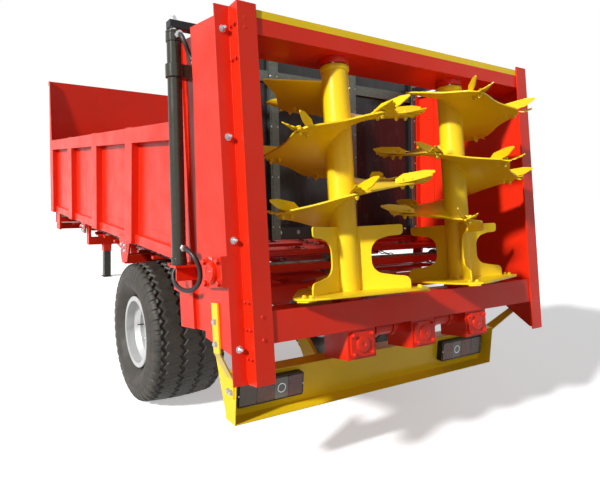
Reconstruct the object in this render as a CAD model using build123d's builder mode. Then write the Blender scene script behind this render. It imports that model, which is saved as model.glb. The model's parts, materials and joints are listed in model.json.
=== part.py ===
"""Single-axle manure spreader with two upright beaters, parked on its drawbar jack.

Millimetres and degrees.  +X is the machine's right, +Y the direction of travel, +Z up.
While it is modelled, y is counted from the foot of the rear columns; at the end every
piece moves along y so that the origin lies on the ground under the middle of the machine.
"""
from build123d import *
from math import ceil, cos, pi, radians, sin, tan
import os

os.makedirs("parts", exist_ok=True)

# ---- load body ----
BODY_FRONT = 4470        # y of the front board's front face
BODY_HALF = 1000         # outer face of the side posts from the middle
WALL_FOOT = 1060         # height of the side walls' lower edge
WALL_TOP = 1800          # height of the top rails
WALL_T = 4               # side sheet
POST_W = 150             # side post, along the machine
POST_D = 50              # side post, across the machine
POST_PITCH = 885         # from one side post to the next
POST_COUNT = 4
RAIL_H = 95              # top rail
SILL_H = 62              # bottom rail under the fold of the side sheet
BOARD_TOP = 2410         # height of the front board
BOARD_T = 5
FLOOR_T = 5
FLOOR_TOP = 1075
BRACKET_T = 12
# brackets under the side walls: middle behind the body's front, half width at the top and
# foot, height of the foot, outer face inside the posts' outer face
BRACKETS = ((2650, 115, 62, 925, 0), (1370, 68, 45, 976, 25))
TOP_LIP = 40             # folded lip along the front board's top, and the ribs' depth
BOARD_RIB_X = (-500, 500)
BOARD_RIB_W = 80
WING_D = (95, 35)        # width of the board's side wings, at the side's top and the board's top
FLOOR_ENDS = (30, 20)    # from the floor's ends to the chains' outside, at the rear and front

# ---- leaning rear frame ----
LEAN = 9.7               # the frame's top leans forward by this much
FOOT_Z = 683             # height of the columns' lower ends
COL_LENGTH = 1593
FLANGE_W = 92            # inner rear flange
FLANGE_T = 8
STEP_D = 70              # from the inner flange ahead to the outer flange
OUTER_W = 70             # outer rear flange, and the depth of the column box
COL_D = 250              # column box, along the machine
COL_T = 6
BOX_FOOT = (130, 181)    # lower edge of the column box, at its rear and front wall
PLATE_T = 8              # housing side plates
PLATE_TOP_Z = 2190       # height of the housing's level upper edge
HOUSING_D = 745          # front edge of the housing plates
HOUSING_FOOT = 190
RIDGE_D = 575            # raised front strip of the housing plates, from here ahead
RIDGE_T = 15
SEAL_D = 80              # post that closes the gap between housing and body, along the machine
SEAL_FOOT = 512
GUSSET_V = (570, 765, 1060, 1380)
GUSSET_D = 150
BEARING = (155, 474)     # flanged bearing on the column box, ahead and up the lean
BEARING_SIZE = (170, 130, 26)
BEARING_BOSS = (45, 14)

# ---- beaters ----
BEATER_X = 415           # beater axis from the middle
BEATER_D = 114           # beater axis ahead of the inner flange
TUBE_R = 66.5
TUBE_FOOT = 340
TUBE_TOP = 1430
DISC_T = 10
DISC_R = 345             # to the corners of the throwing disc
TIP_R = 400              # to the wear tips on the disc
PADDLE_R = 310
PADDLE_TOP = 648
PADDLE_T = 8
FLIGHT_R = 360
FLIGHT_T = 8
FLIGHT_PITCH = 330
# height up the lean at which each flight passes the rear of its tube, angle of its lowest
# knife and number of knives
FLIGHTS = {"left": (797, -177, 11), "right": (717, -153, 12)}
FLIGHT_END = 60          # angle from the flight's ends to the first and last knife
HELIX_STEP = 18          # longest step of the flight's edge
KNIFE_R = 450            # to the knife tips
KNIFE_STEP = 64          # angle from one knife to the next
KNIFE_ROOT = 7           # half angle of a knife at the flight's edge
KNIFE_TIP = 2            # half angle of a knife at its tip
PADDLE_ANGLE = -37.4     # first paddle of the left beater, from +X towards ahead
RIGHT_PHASE = -107.4     # turn of the right beater past its mirror image
DISC_CORNERS = ((-16, DISC_R), (-6, TIP_R), (6, TIP_R), (16, DISC_R))    # round each paddle
# bay in a paddle's outer side: radius beyond the tube or inside the paddle's edge, and share
# of the paddle's height
BAY_IN = (62, 0.34, 0.68)
BAY_OUT = ((90, 0.22), (100, 0.82))
BAY_FOOT = 0.18
ARM_SHORT = (25, 0.84)   # the paddle's upper arm ends this far inside its edge, above this share
STUB_R = 35
STUB_L = 58
STUB_RUN = 0.1           # running clearance of shafts in their bores
TOP_STUB_R = 30
TOP_BEARING_R = 72
TOP_GAP = (5, 2)         # from the tube's top to the upper bearing, and from its stub to the beam
NECK_R = 60
HUB_R = 75
PADDLE_GAP = 0.8         # between a paddle's inner edge and the tube
HUB_HOLE = 2             # the carrier's hole round the hub
HUB_GAP = 12             # from the hub to the throwing disc
TOUCH = 0.3              # gap between pieces that are bolted or welded together
CUT = 1                  # cutters reach this far past the face they open

# ---- beam, apron and drive ----
BEAM_FOOT = 1468
BEAM_H = 73
BEAM_D = (10, 260)
BEAM_T = 6
COVER_LIP = 34
COVER_OVER = 20          # the cover reaches this far ahead of the beam
APRON = (165, 300)       # lower and upper edge, up the lean
APRON_D = 260
APRON_T = 6
APRON_LIP = 70           # front flange under the gearbox carrier
GEARBOX = (170, 180)     # across, ahead
GEARBOX_FOOT = 25
CROSS_TUBE_R = 38        # tube round the shaft from gearbox to gearbox
SNOUT_R = 50
SNOUT_Y = (-20, 90)      # ends of the input snout, from the gearbox's front
SNOUT_BORE = 40          # depth of its closed rear end
SHAFT_Z = 802
SHAFT_R = 30
SHAFT_FRONT = 4960
PTO_R = 17.5
PTO_LENGTH = 76

# ---- guillotine door and its rams ----
DOOR_LEAN = 5.85         # the door and its rams lean forward by this much
DOOR_Y = 1026            # y of the door sheet's rear face at its lower edge
DOOR_FOOT_Z = 1140       # height of the door's lower edge above the ground
DOOR_H = 1110
DOOR_HALF = BODY_HALF - 72   # to the door's edge from the middle
DOOR_T = 4
EDGE_D = (-30, 24)       # edge bars that run in the guides, behind and ahead of the sheet's rear face
EDGE_W = 60
RIB_D = 30
RIB_W = 64
RIB_X = (-310, 310)
RIB_GAP = 3              # between the ribs' tops and the door's upper edge
GUIDE_GAP = 8            # edge bar to the guide's lips
GUIDE_T = 6
GUIDE_LIP = 45
GUIDE_V = (-50, 1015)    # ends of the guides, up the door's lean
TIE_L = 130              # web that carries each guide from the housing
RAM_X = BODY_HALF + 88
RAM_AHEAD = -395         # ram axis, counted from the door sheet
RAM_R = 34
RAM_BORE = 26
ROD_R = 20
RAM_V = (-88, 1022)      # ends of the barrel, up the door's lean
PISTON_L = 40
PISTON_REST = 3          # the piston rests this far above the barrel's floor
GLAND_L = 40
SEAT_T = 12              # shelf under the barrel
SEAT_WEB = 65
SEAT_MARGIN = 6          # from the barrel to the shelf's ends
CLAMP_V = (805, 865)
CLAMP_T = 9
ARM_V = (1035, 1070)
ARM_W = 52
ARM_X = (DOOR_HALF - 56, DOOR_HALF - 2)    # forward legs of the door's arms
BEAM_AHEAD = 54          # front face of the door's upper beam
PORT_V = {"top": 992, "foot": -5}    # hose ports, up the door's lean
PORT_R = 14
PORT_L = 16
HOSE_R = 11
HOSE_LEAD = 32           # straight hose at each end
# points between the leads: outwards, along and up from the port
HOSE_POINTS = {
    "top": ((-8, -60, -34), (-32, -55, -86)),
    "foot": ((-16, -92, -22), (-42, -112, -84), (-46, -102, -150), (-26, -62, -196),
             (-6, 10, -208), (4, 82, -190), (4, 118, -140)),
}
# gland of the upper hose on the column box: outwards from the ram axis, and up the lean
GLAND_TOP = (-50, 1440)
GLAND_FOOT = (112, -100)     # gland of the lower hose on the housing, along and up from the port
ARC_SHARE = 0.45         # share of a run that its arc takes

# ---- conveyor ----
CHAIN_X = (-800, -120, 120, 800)
CHAIN_W = 22
CHAIN_T = 16
CHAIN_R = 60             # outside of the chain round its sprockets
CHAIN_REAR = 725         # y of the rear shaft
CHAIN_FRONT = 4310
SLAT_PITCH = 300
SLAT_W = 42
SLAT_H = 20
CONVEYOR_R = 25
CHAIN_OVER = 2           # chain above the floor
SLAT_FIRST = 40          # from the rear shaft to the first slat
SLAT_X = (-40, 60)       # slat ends beyond the inner and outer chain
SPROCKET_W = 16

# ---- chassis, axle, wheels ----
RAIL_X = 400             # chassis rail from the middle
RAIL_W = 80
RAIL_Z = (790, 940)
RAIL_REAR = 640
RAIL_T = 8
CROSS_Z = (880, 940)
CROSS_W = 80
CROSS_T = 8
HANG_T = 20              # uprights under the side walls
REAR_BEAM_Z = (850, 935)
REAR_BEAM_W = 80
SHAFT_CARRIER = (60, 60) # half width and depth of the shaft's front bearing
CARRIER_Y = (30, 40)     # its block and its bore, half length along the machine
CROSS_Y = (1000, 2000, 3050, 4395)
AXLE_Y = 1680
TRACK = 1500
TYRE_R = 466
TYRE_W = 500
RIM_SEAT = 212
RIM_FLANGE = 233
RIM_W = 430
RIM_T = 3.7              # rim flange
WALL_R = 8               # thickness of the rim's seat and well
WELL = (60, 90)          # start and floor of the rim's well, from the flanges
WELL_R = 178
DISC_X = (118, 130, 260) # wheel disc's two faces and the hub's inner end, from the outer flange
BEAD_OVER = 6            # the tyre's bead rises this far above the rim's flange
BEAD_W = 40
WIDEST_R = 335
LINER_R = 330
SHOULDER = ((8, 400), (34, 16))    # in from the widest; radius, then below the crown
CROWN_IN = 70
SPINDLE_R = 35
SPINDLE_END = 90         # from the wheel's middle to the spindle's end
AXLE_BEAM = 100
AXLE_GAP = 30            # from the axle beam to the tyre
AXLE_SEAT = (70, 220)    # uprights over the axle, across and along the machine

# ---- drawbar, eye, jack ----
DRAWBAR_Z = (670, 790)
DRAWBAR_REAR = 3500
NOSE_REAR = 5750
NOSE_FRONT = 6330
NOSE_W = 210
DRAWBAR_T = 8
NOSE_LAP = 60            # the beams run this far into the nose
BEAM_TIP = 20            # their inner corners there, from the middle
HANGER_X = (240, 320)
HANGER_W = 70
EYE_Y = 6480
EYE_BORE = 25
EYE_R = 62
EYE_T = 30
SHANK_W = 70
EYE_PLATE = (90, 15, 10)     # half width, thickness, short of the nose's edges
JACK_Y = 6060
JACK_W = 90              # square leg
JACK_GAP = 0.1           # running gap of the leg in its sleeve
SLEEVE_T = 7
SLEEVE_Z = (370, 900)
JACK_TOP = 560
SLEEVE_GUSSET = (130, 60, 40, 10)    # reach, depth at its end, foot above the sleeve's, thick

# ---- bumper ----
BUMPER_Z = (378, 615)
BUMPER_Y = (300, 394)
BUMPER_HALF = 935
BUMPER_T = 4
HANGER_T = 20
HANGER_FOOT = (20, 40)   # hangers' ends short of the bumper's upper and lower edge
HANGER_TOP = 70
BAR_T = 8                # flat bars from the columns to the bumper
BAR_D = (170, 228)       # their upper part, ahead of the inner flange
BAR_TOP_Z = 980
BAR_LAP = 4              # bend below the column box
BAR_LOW = (10, 80)       # lower part, ahead of the bumper's rear edge
BAR_Z = (25, 110)        # lower part's ends below the bumper's top
LAMP_X = (520, 900)
LAMP_Z = (432, 555)
LAMP_D = 45
LAMP_CORNER = 12

lean = radians(LEAN)
FOOT = Vector(0, 0, FOOT_Z)
UP = Vector(0, sin(lean), cos(lean))
# local x is the machine's X, local y runs ahead square to the frame, local z up the lean
LEANING = Plane(origin=FOOT, x_dir=(1, 0, 0), z_dir=UP)
door_lean = radians(DOOR_LEAN)
# the same for the door, from the foot of its sheet's rear face
door_up = Vector(0, sin(door_lean), cos(door_lean))
DOOR = Plane(origin=(0, DOOR_Y, DOOR_FOOT_Z), x_dir=(1, 0, 0), z_dir=door_up)
SIDES = {"left": -1, "right": 1}
pieces = {}


def keep(builder, name):
    """Label a finished piece and keep it for the export."""
    builder.part.label = name
    pieces[name] = builder.part


def slab(x, y, z, plane=Plane.XY, mode=Mode.ADD):
    """Add a box that spans the three ranges of the plane's own directions."""
    centre = [(a + b) / 2 for a, b in (x, y, z)]
    size = [abs(b - a) for a, b in (x, y, z)]
    with Locations(plane.location * Location(centre)):
        Box(*size, mode=mode)


def post(x, d, v, radius, mode=Mode.ADD, plane=LEANING):
    """Add a round bar up the plane's lean at x and d, between the two ends of v."""
    with Locations(plane.location * Location((x, d, (v[0] + v[1]) / 2))):
        Cylinder(radius, abs(v[1] - v[0]), mode=mode)


def bar(start, end, radius, mode=Mode.ADD):
    """Add a round bar from one point to another."""
    with Locations(Plane(origin=(start + end) / 2, z_dir=end - start).location):
        Cylinder(radius, (end - start).length, mode=mode)


def tube_y(x, y, z, radius, mode=Mode.ADD):
    """Add a cylinder along Y between the two ends of y."""
    with Locations(Location((x, (y[0] + y[1]) / 2, z), (90, 0, 0))):
        Cylinder(radius, abs(y[1] - y[0]), mode=mode)


def tube_x(x, y, z, radius, mode=Mode.ADD):
    """Add a cylinder along X between the two ends of x."""
    with Locations(Location(((x[0] + x[1]) / 2, y, z), (0, 90, 0))):
        Cylinder(radius, abs(x[1] - x[0]), mode=mode)


def along(v, d):
    """The machine's y and z of a point v up the lean and d ahead of the frame."""
    return v * sin(lean) + d * cos(lean), FOOT_Z + v * cos(lean) - d * sin(lean)


def up_lean(z, d):
    """The distance up the lean of a point at height z, d ahead of the frame."""
    return (z - FOOT_Z + d * sin(lean)) / cos(lean)


def cross_plane(y):
    """Plane across the machine at y: local x is X, local y is Z, its normal looks back."""
    return Plane(origin=(0, y, 0), x_dir=(1, 0, 0), z_dir=(0, -1, 0))


def side_plane(x):
    """Upright plane along the machine at x: local x is Y, local y is Z, normal +X."""
    return Plane(origin=(x, 0, 0), x_dir=(0, 1, 0), z_dir=(1, 0, 0))


def hose_gland(s, place):
    """Where a hose goes in: a point on the plate, and the direction out of it."""
    if place == "top":
        x, v = GLAND_TOP
        return LEANING.from_local_coords((s * (RAM_X + x), STEP_D + COL_D, v)), LEANING.y_dir
    ahead, up = GLAND_FOOT
    port = hose_port(s, place)
    return Vector(s * (BODY_HALF + RIDGE_T), port.Y + ahead, port.Z + up), Vector(s, 0, 0)


def hose_port(s, place):
    """Face of the port that a hose leaves."""
    return DOOR.from_local_coords((s * RAM_X, RAM_AHEAD - RAM_R - PORT_L, PORT_V[place]))


def hose_route(s, place):
    """Points of a hose: straight out of its port, along the table's points, square into its gland."""
    port = hose_port(s, place)
    between = [port + Vector(s * x, y, z) for x, y, z in HOSE_POINTS[place]]
    plate, outwards = hose_gland(s, place)
    end = plate + outwards * PORT_L
    return [port, port - DOOR.y_dir * HOSE_LEAD, *between, end + outwards * HOSE_LEAD, end]


# ------------------------------------------------------------------ load body
hang_x = BODY_HALF - POST_D
inside = BODY_HALF - PLATE_T
post_fronts = [BODY_FRONT - i * POST_PITCH for i in range(POST_COUNT)]


def leaning_y(z):
    """y of the housing plates' front edge at height z."""
    return along(up_lean(z, HOUSING_D), HOUSING_D)[0]


def wall_strip(x, z):
    """Add a strip of side wall between the housing and the front, x and z as ranges."""
    with BuildSketch(side_plane(min(x))) as strip:
        with BuildLine():
            Polyline((leaning_y(z[0]), z[0]), (BODY_FRONT - BOARD_T, z[0]),
                     (BODY_FRONT - BOARD_T, z[1]), (leaning_y(z[1]), z[1]), close=True)
        make_face()
    extrude(strip.sketch, amount=abs(x[1] - x[0]))


for side, s in SIDES.items():
    with BuildPart() as wall:
        wall_strip((s * hang_x, s * (hang_x + WALL_T)), (WALL_FOOT, WALL_TOP))
        wall_strip((s * hang_x, s * BODY_HALF), (WALL_TOP - RAIL_H, WALL_TOP))
        wall_strip((s * hang_x, s * (hang_x + POST_D / 2)), (WALL_FOOT, WALL_FOOT + SILL_H))
        for front in post_fronts:
            front_face = min(front, BODY_FRONT - BOARD_T)
            slab((s * hang_x, s * BODY_HALF), (front - POST_W, front_face), (WALL_FOOT, WALL_TOP))
            slab((s * (hang_x + WALL_T), s * (BODY_HALF - WALL_T)),
                 (front - POST_W + WALL_T, front_face - WALL_T),
                 (WALL_FOOT - CUT, WALL_TOP - WALL_T), mode=Mode.SUBTRACT)
        for behind, half_top, half_foot, foot_z, inset in BRACKETS:
            y = BODY_FRONT - behind
            face = s * (BODY_HALF - inset)
            with BuildSketch(side_plane(min(face, face - s * BRACKET_T))) as bracket:
                with BuildLine():
                    Polyline((y - half_top, WALL_FOOT + SILL_H / 2), (y + half_top, WALL_FOOT + SILL_H / 2),
                             (y + half_top, WALL_FOOT), (y + half_foot, foot_z),
                             (y - half_foot, foot_z), (y - half_top, WALL_FOOT), close=True)
                make_face()
            extrude(bracket.sketch, amount=BRACKET_T)
    keep(wall, f"side_{side}")

board_rear = BODY_FRONT - BOARD_T
with BuildPart() as front_board:
    slab((-hang_x, hang_x), (board_rear, BODY_FRONT), (CROSS_Z[1], WALL_FOOT))
    slab((-BODY_HALF, BODY_HALF), (board_rear, BODY_FRONT), (WALL_FOOT, BOARD_TOP))
    slab((-BODY_HALF, BODY_HALF), (BODY_FRONT, BODY_FRONT + TOP_LIP), (BOARD_TOP - TOP_LIP, BOARD_TOP))
    for x in BOARD_RIB_X:
        slab((x - BOARD_RIB_W / 2, x + BOARD_RIB_W / 2), (BODY_FRONT, BODY_FRONT + TOP_LIP),
             (WALL_FOOT, BOARD_TOP))
    for s in SIDES.values():
        with BuildSketch(side_plane(min(s * BODY_HALF, s * (BODY_HALF - BOARD_T)))):
            with BuildLine():
                Polyline((board_rear, WALL_TOP), (BODY_FRONT - WING_D[0], WALL_TOP),
                         (BODY_FRONT - WING_D[1], BOARD_TOP), (board_rear, BOARD_TOP), close=True)
            make_face()
        extrude(amount=BOARD_T)
keep(front_board, "front_board")

floor_rear = CHAIN_REAR + CHAIN_R + FLOOR_ENDS[0]
floor_front = CHAIN_FRONT - CHAIN_R - FLOOR_ENDS[1]
with BuildPart() as floor:
    slab((-hang_x, hang_x), (floor_rear, floor_front), (FLOOR_TOP - FLOOR_T, FLOOR_TOP))
    slab((-FLOOR_T, FLOOR_T), (floor_rear, floor_front), (RAIL_Z[1], FLOOR_TOP - FLOOR_T))
keep(floor, "floor")

# ------------------------------------------------------------------ chassis
hanger_top = FLOOR_TOP - FLOOR_T
with BuildPart() as chassis:
    for y in CROSS_Y:
        slab((-hang_x, hang_x), (y - CROSS_W / 2, y + CROSS_W / 2), CROSS_Z)
        slab((-hang_x - CUT, hang_x + CUT), (y - CROSS_W / 2 + CROSS_T, y + CROSS_W / 2 - CROSS_T),
             (CROSS_Z[0] - CUT, CROSS_Z[1] - CROSS_T), mode=Mode.SUBTRACT)
    for s in SIDES.values():
        # rail: a channel open towards the middle
        slab((s * (RAIL_X - RAIL_W / 2), s * (RAIL_X + RAIL_W / 2)), (RAIL_REAR, BODY_FRONT), RAIL_Z)
        slab((s * (RAIL_X - RAIL_W / 2 - CUT), s * (RAIL_X + RAIL_W / 2 - RAIL_T)),
             (RAIL_REAR - CUT, BODY_FRONT + CUT), (RAIL_Z[0] + RAIL_T, RAIL_Z[1] - RAIL_T),
             mode=Mode.SUBTRACT)
        # uprights that carry the body's sides
        for y in CROSS_Y:
            slab((s * hang_x, s * (hang_x - HANG_T)), (y - CROSS_W / 2, y + CROSS_W / 2),
                 (CROSS_Z[0], hanger_top))
        slab((s * hang_x, s * (hang_x - HANG_T)), (CHAIN_FRONT - CROSS_W / 2, CROSS_Y[-1]),
             (CROSS_Z[0], hanger_top))
    for y in CROSS_Y:
        slab((-RAIL_X, RAIL_X), (y - CROSS_W / 2, y - CROSS_W / 2 + CROSS_T), CROSS_Z)
    # rear beam between the housing plates
    slab((-inside, inside), (RAIL_REAR, RAIL_REAR + REAR_BEAM_W), REAR_BEAM_Z)
    slab((-inside - CUT, inside + CUT), (RAIL_REAR + CROSS_T, RAIL_REAR + REAR_BEAM_W - CROSS_T),
         (REAR_BEAM_Z[0] - CUT, REAR_BEAM_Z[1] - CROSS_T), mode=Mode.SUBTRACT)
    # front bearing of the drive shaft
    slab((-SHAFT_CARRIER[0], SHAFT_CARRIER[0]), (CROSS_Y[-1] - CARRIER_Y[0], CROSS_Y[-1] + CARRIER_Y[0]),
         (SHAFT_Z - SHAFT_CARRIER[1], CROSS_Z[1] - CROSS_T))
    tube_y(0, (CROSS_Y[-1] - CARRIER_Y[1], CROSS_Y[-1] + CARRIER_Y[1]), SHAFT_Z,
           SHAFT_R + STUB_RUN / 2, Mode.SUBTRACT)
keep(chassis, "chassis")

with BuildPart() as axle:
    beam_end = (TRACK - TYRE_W) / 2 - AXLE_GAP
    spindle_end = TRACK / 2 + SPINDLE_END
    slab((-beam_end, beam_end), (AXLE_Y - AXLE_BEAM / 2, AXLE_Y + AXLE_BEAM / 2),
         (TYRE_R - AXLE_BEAM / 2, TYRE_R + AXLE_BEAM / 2))
    tube_x((-spindle_end, spindle_end), AXLE_Y, TYRE_R, SPINDLE_R)
    for s in SIDES.values():
        x = (s * RAIL_X - AXLE_SEAT[0] / 2, s * RAIL_X + AXLE_SEAT[0] / 2)
        slab(x, (AXLE_Y - AXLE_SEAT[1] / 2, AXLE_Y + AXLE_SEAT[1] / 2),
             (TYRE_R + AXLE_BEAM / 2, RAIL_Z[0]))
keep(axle, "axle")

# ------------------------------------------------------------------ wheels
for side, s in SIDES.items():
    hub_x = s * TRACK / 2
    wheel_plane = Plane(origin=(hub_x, AXLE_Y, TYRE_R), x_dir=(s, 0, 0), z_dir=(0, -s, 0))
    half = RIM_W / 2
    wide = TYRE_W / 2
    bore = SPINDLE_R + STUB_RUN / 2
    lining = RIM_SEAT + TOUCH
    flange_in = half - RIM_T - TOUCH
    with BuildPart() as tyre:
        with BuildSketch(wheel_plane):
            with BuildLine():
                Polyline((-flange_in, lining), (-flange_in, RIM_FLANGE + BEAD_OVER),
                         (-wide, WIDEST_R), (-wide + SHOULDER[0][0], SHOULDER[0][1]),
                         (-wide + SHOULDER[1][0], TYRE_R - SHOULDER[1][1]), (-wide + CROWN_IN, TYRE_R),
                         (wide - CROWN_IN, TYRE_R), (wide - SHOULDER[1][0], TYRE_R - SHOULDER[1][1]),
                         (wide - SHOULDER[0][0], SHOULDER[0][1]), (wide, WIDEST_R),
                         (flange_in, RIM_FLANGE + BEAD_OVER), (flange_in, lining),
                         (half - BEAD_W, lining), (half - BEAD_W, LINER_R), (-half + BEAD_W, LINER_R),
                         (-half + BEAD_W, lining), close=True)
            make_face()
        revolve(axis=Axis((hub_x, AXLE_Y, TYRE_R), (1, 0, 0)))
    keep(tyre, f"tyre_{side}")
    with BuildPart() as rim:
        with BuildSketch(wheel_plane):
            with BuildLine():
                Polyline((-half, RIM_FLANGE), (-half + RIM_T, RIM_FLANGE), (-half + RIM_T, RIM_SEAT),
                         (-half + WELL[0], RIM_SEAT), (-half + WELL[1], WELL_R),
                         (half - WELL[1], WELL_R), (half - WELL[0], RIM_SEAT),
                         (half - RIM_T, RIM_SEAT), (half - RIM_T, RIM_FLANGE), (half, RIM_FLANGE),
                         (half, RIM_SEAT - WALL_R), (half - WELL[0] + RIM_T, RIM_SEAT - WALL_R),
                         (half - WELL[1] + RIM_T, WELL_R - WALL_R), (half - DISC_X[0], WELL_R - WALL_R),
                         (half - DISC_X[0], bore), (half - DISC_X[2], bore), (half - DISC_X[2], HUB_R),
                         (half - DISC_X[1], HUB_R), (half - DISC_X[1], WELL_R - WALL_R),
                         (-half + WELL[1] - RIM_T, WELL_R - WALL_R),
                         (-half + WELL[0] - RIM_T, RIM_SEAT - WALL_R),
                         (-half, RIM_SEAT - WALL_R), close=True)
            make_face()
        revolve(axis=Axis((hub_x, AXLE_Y, TYRE_R), (1, 0, 0)))
    keep(rim, f"rim_{side}")

# ------------------------------------------------------------------ leaning rear frame
for side, s in SIDES.items():
    skin = s * BODY_HALF
    out = s * (BODY_HALF + OUTER_W)
    box_front = STEP_D + COL_D
    housing = Plane(origin=FOOT + Vector(min(skin, skin - s * PLATE_T), 0, 0),
                    x_dir=LEANING.y_dir, z_dir=(1, 0, 0))
    box_side = Plane(origin=FOOT + Vector(min(out, out - s * COL_T), 0, 0),
                     x_dir=LEANING.y_dir, z_dir=(1, 0, 0))
    with BuildPart() as rear_post:
        # rear flanges and the step between them
        slab((skin, s * (BODY_HALF - FLANGE_W)), (0, FLANGE_T), (0, COL_LENGTH), LEANING)
        slab((skin, out), (STEP_D, STEP_D + COL_T), (0, COL_LENGTH), LEANING)
        # housing side plate, from the inner flange ahead, with a raised strip at its front
        step_front = STEP_D + COL_T
        with BuildSketch(housing) as plate:
            with BuildLine():
                Polyline((0, 0), (step_front, 0), (box_front, BOX_FOOT[1]), (RIDGE_D, HOUSING_FOOT),
                         (HOUSING_D, HOUSING_FOOT), (HOUSING_D, up_lean(PLATE_TOP_Z, HOUSING_D)),
                         (step_front, up_lean(PLATE_TOP_Z, step_front)), (step_front, COL_LENGTH),
                         (0, COL_LENGTH), close=True)
            make_face()
        extrude(plate.sketch, amount=PLATE_T)
        ridge_top = up_lean(PLATE_TOP_Z, RIDGE_D)
        slab((skin, s * (BODY_HALF + RIDGE_T)), (RIDGE_D, HOUSING_D), (HOUSING_FOOT, ridge_top), LEANING)
        # column box: outer plate and front wall
        with BuildSketch(box_side) as cheek:
            with BuildLine():
                Polyline((STEP_D, BOX_FOOT[0]), (box_front, BOX_FOOT[1]),
                         (box_front, up_lean(PLATE_TOP_Z, box_front)),
                         (STEP_D, up_lean(PLATE_TOP_Z, STEP_D)), close=True)
            make_face()
        extrude(cheek.sketch, amount=COL_T)
        front_top = up_lean(PLATE_TOP_Z, box_front - COL_T)
        slab((skin, out), (box_front - COL_T, box_front), (BOX_FOOT[1], front_top), LEANING)
        # post between the housing plate and the body's side sheet
        slab((s * hang_x, skin), (HOUSING_D - SEAL_D, HOUSING_D), (SEAL_FOOT, ridge_top), LEANING)
        # gussets between the column box and the side plate
        for v in GUSSET_V:
            with BuildSketch(Plane(origin=FOOT + UP * v, x_dir=(1, 0, 0), z_dir=UP)) as gusset:
                with BuildLine():
                    Polyline((skin, box_front), (out, box_front), (skin, box_front + GUSSET_D), close=True)
                make_face()
            extrude(gusset.sketch, amount=COL_T)
        # flanged bearing on the column box
        length, height, thickness = BEARING_SIZE
        slab((out, out + s * thickness), (BEARING[0] - length / 2, BEARING[0] + length / 2),
             (BEARING[1] - height / 2, BEARING[1] + height / 2), LEANING)
        bearing_centre = LEANING.from_local_coords((out + s * thickness, *BEARING))
        bar(bearing_centre, bearing_centre + Vector(s * BEARING_BOSS[1], 0, 0), BEARING_BOSS[0])
        # ram seat: shelf under the barrel and its web
        seat_y = (RAM_AHEAD - RAM_R - SEAT_MARGIN, RAM_AHEAD + RAM_R + SEAT_MARGIN)
        slab((skin, s * (RAM_X + RAM_R)), seat_y, (RAM_V[0] - SEAT_T, RAM_V[0]), DOOR)
        slab((skin, s * (RAM_X + RAM_R / 2)), (RAM_AHEAD - SEAT_T / 2, RAM_AHEAD + SEAT_T / 2),
             (RAM_V[0] - SEAT_T - SEAT_WEB, RAM_V[0] - SEAT_T), DOOR)
        # glands where the hoses enter the column box and the side plate
        for place in HOSE_POINTS:
            plate_point, outwards = hose_gland(s, place)
            bar(plate_point - outwards * CUT, plate_point + outwards * PORT_L, PORT_R)
    keep(rear_post, f"rear_post_{side}")

    with BuildPart() as door_guide:
        guide_y = (EDGE_D[0] - GUIDE_GAP - GUIDE_T, EDGE_D[1] + GUIDE_GAP + GUIDE_T)
        slab((s * hang_x, s * (hang_x - GUIDE_LIP)), guide_y, GUIDE_V, DOOR)
        slab((s * (hang_x - GUIDE_T), s * (hang_x - GUIDE_LIP - CUT)),
             (guide_y[0] + GUIDE_T, guide_y[1] - GUIDE_T),
             (GUIDE_V[0] - CUT, GUIDE_V[1] + CUT), DOOR, mode=Mode.SUBTRACT)
        slab((s * hang_x, s * (hang_x - GUIDE_T)), (guide_y[0] - TIE_L, guide_y[0]), GUIDE_V, DOOR)
    keep(door_guide, f"door_guide_{side}")

with BuildPart() as top_beam:
    slab((-inside, inside), BEAM_D, (BEAM_FOOT, BEAM_FOOT + BEAM_H), LEANING)
    slab((-inside + BEAM_T, inside - BEAM_T), (BEAM_D[0] + BEAM_T, BEAM_D[1] - BEAM_T),
         (BEAM_FOOT + BEAM_T, BEAM_FOOT + BEAM_H), LEANING, mode=Mode.SUBTRACT)
keep(top_beam, "top_beam")

with BuildPart() as top_cover:
    cover_v = BEAM_FOOT + BEAM_H
    slab((-inside, inside), (BEAM_D[0], BEAM_D[1] + COVER_OVER), (cover_v, cover_v + BEAM_T), LEANING)
    slab((-inside, inside), (BEAM_D[0], BEAM_D[0] + BEAM_T), (cover_v, cover_v + COVER_LIP), LEANING)
keep(top_cover, "top_cover")

bearing_v = (TUBE_TOP + TOP_GAP[0], BEAM_FOOT)
with BuildPart() as top_bearings:
    for s in SIDES.values():
        post(s * BEATER_X, BEATER_D, bearing_v, TOP_BEARING_R)
        post(s * BEATER_X, BEATER_D, bearing_v, TOP_STUB_R + STUB_RUN / 2, Mode.SUBTRACT)
keep(top_bearings, "top_bearings")

carrier_v = APRON[1] - APRON_T
with BuildPart() as apron:
    slab((-inside, inside), (FLANGE_T, FLANGE_T + APRON_T), APRON, LEANING)
    slab((-inside, inside), (FLANGE_T, APRON_D), (carrier_v - APRON_T, carrier_v), LEANING)
    slab((-inside, inside), (APRON_D - APRON_T, APRON_D), (carrier_v - APRON_LIP, carrier_v), LEANING)
    for s in SIDES.values():
        post(s * BEATER_X, BEATER_D, (carrier_v - 2 * APRON_T, carrier_v + APRON_T), HUB_R + HUB_HOLE,
             Mode.SUBTRACT)
keep(apron, "apron")

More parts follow.
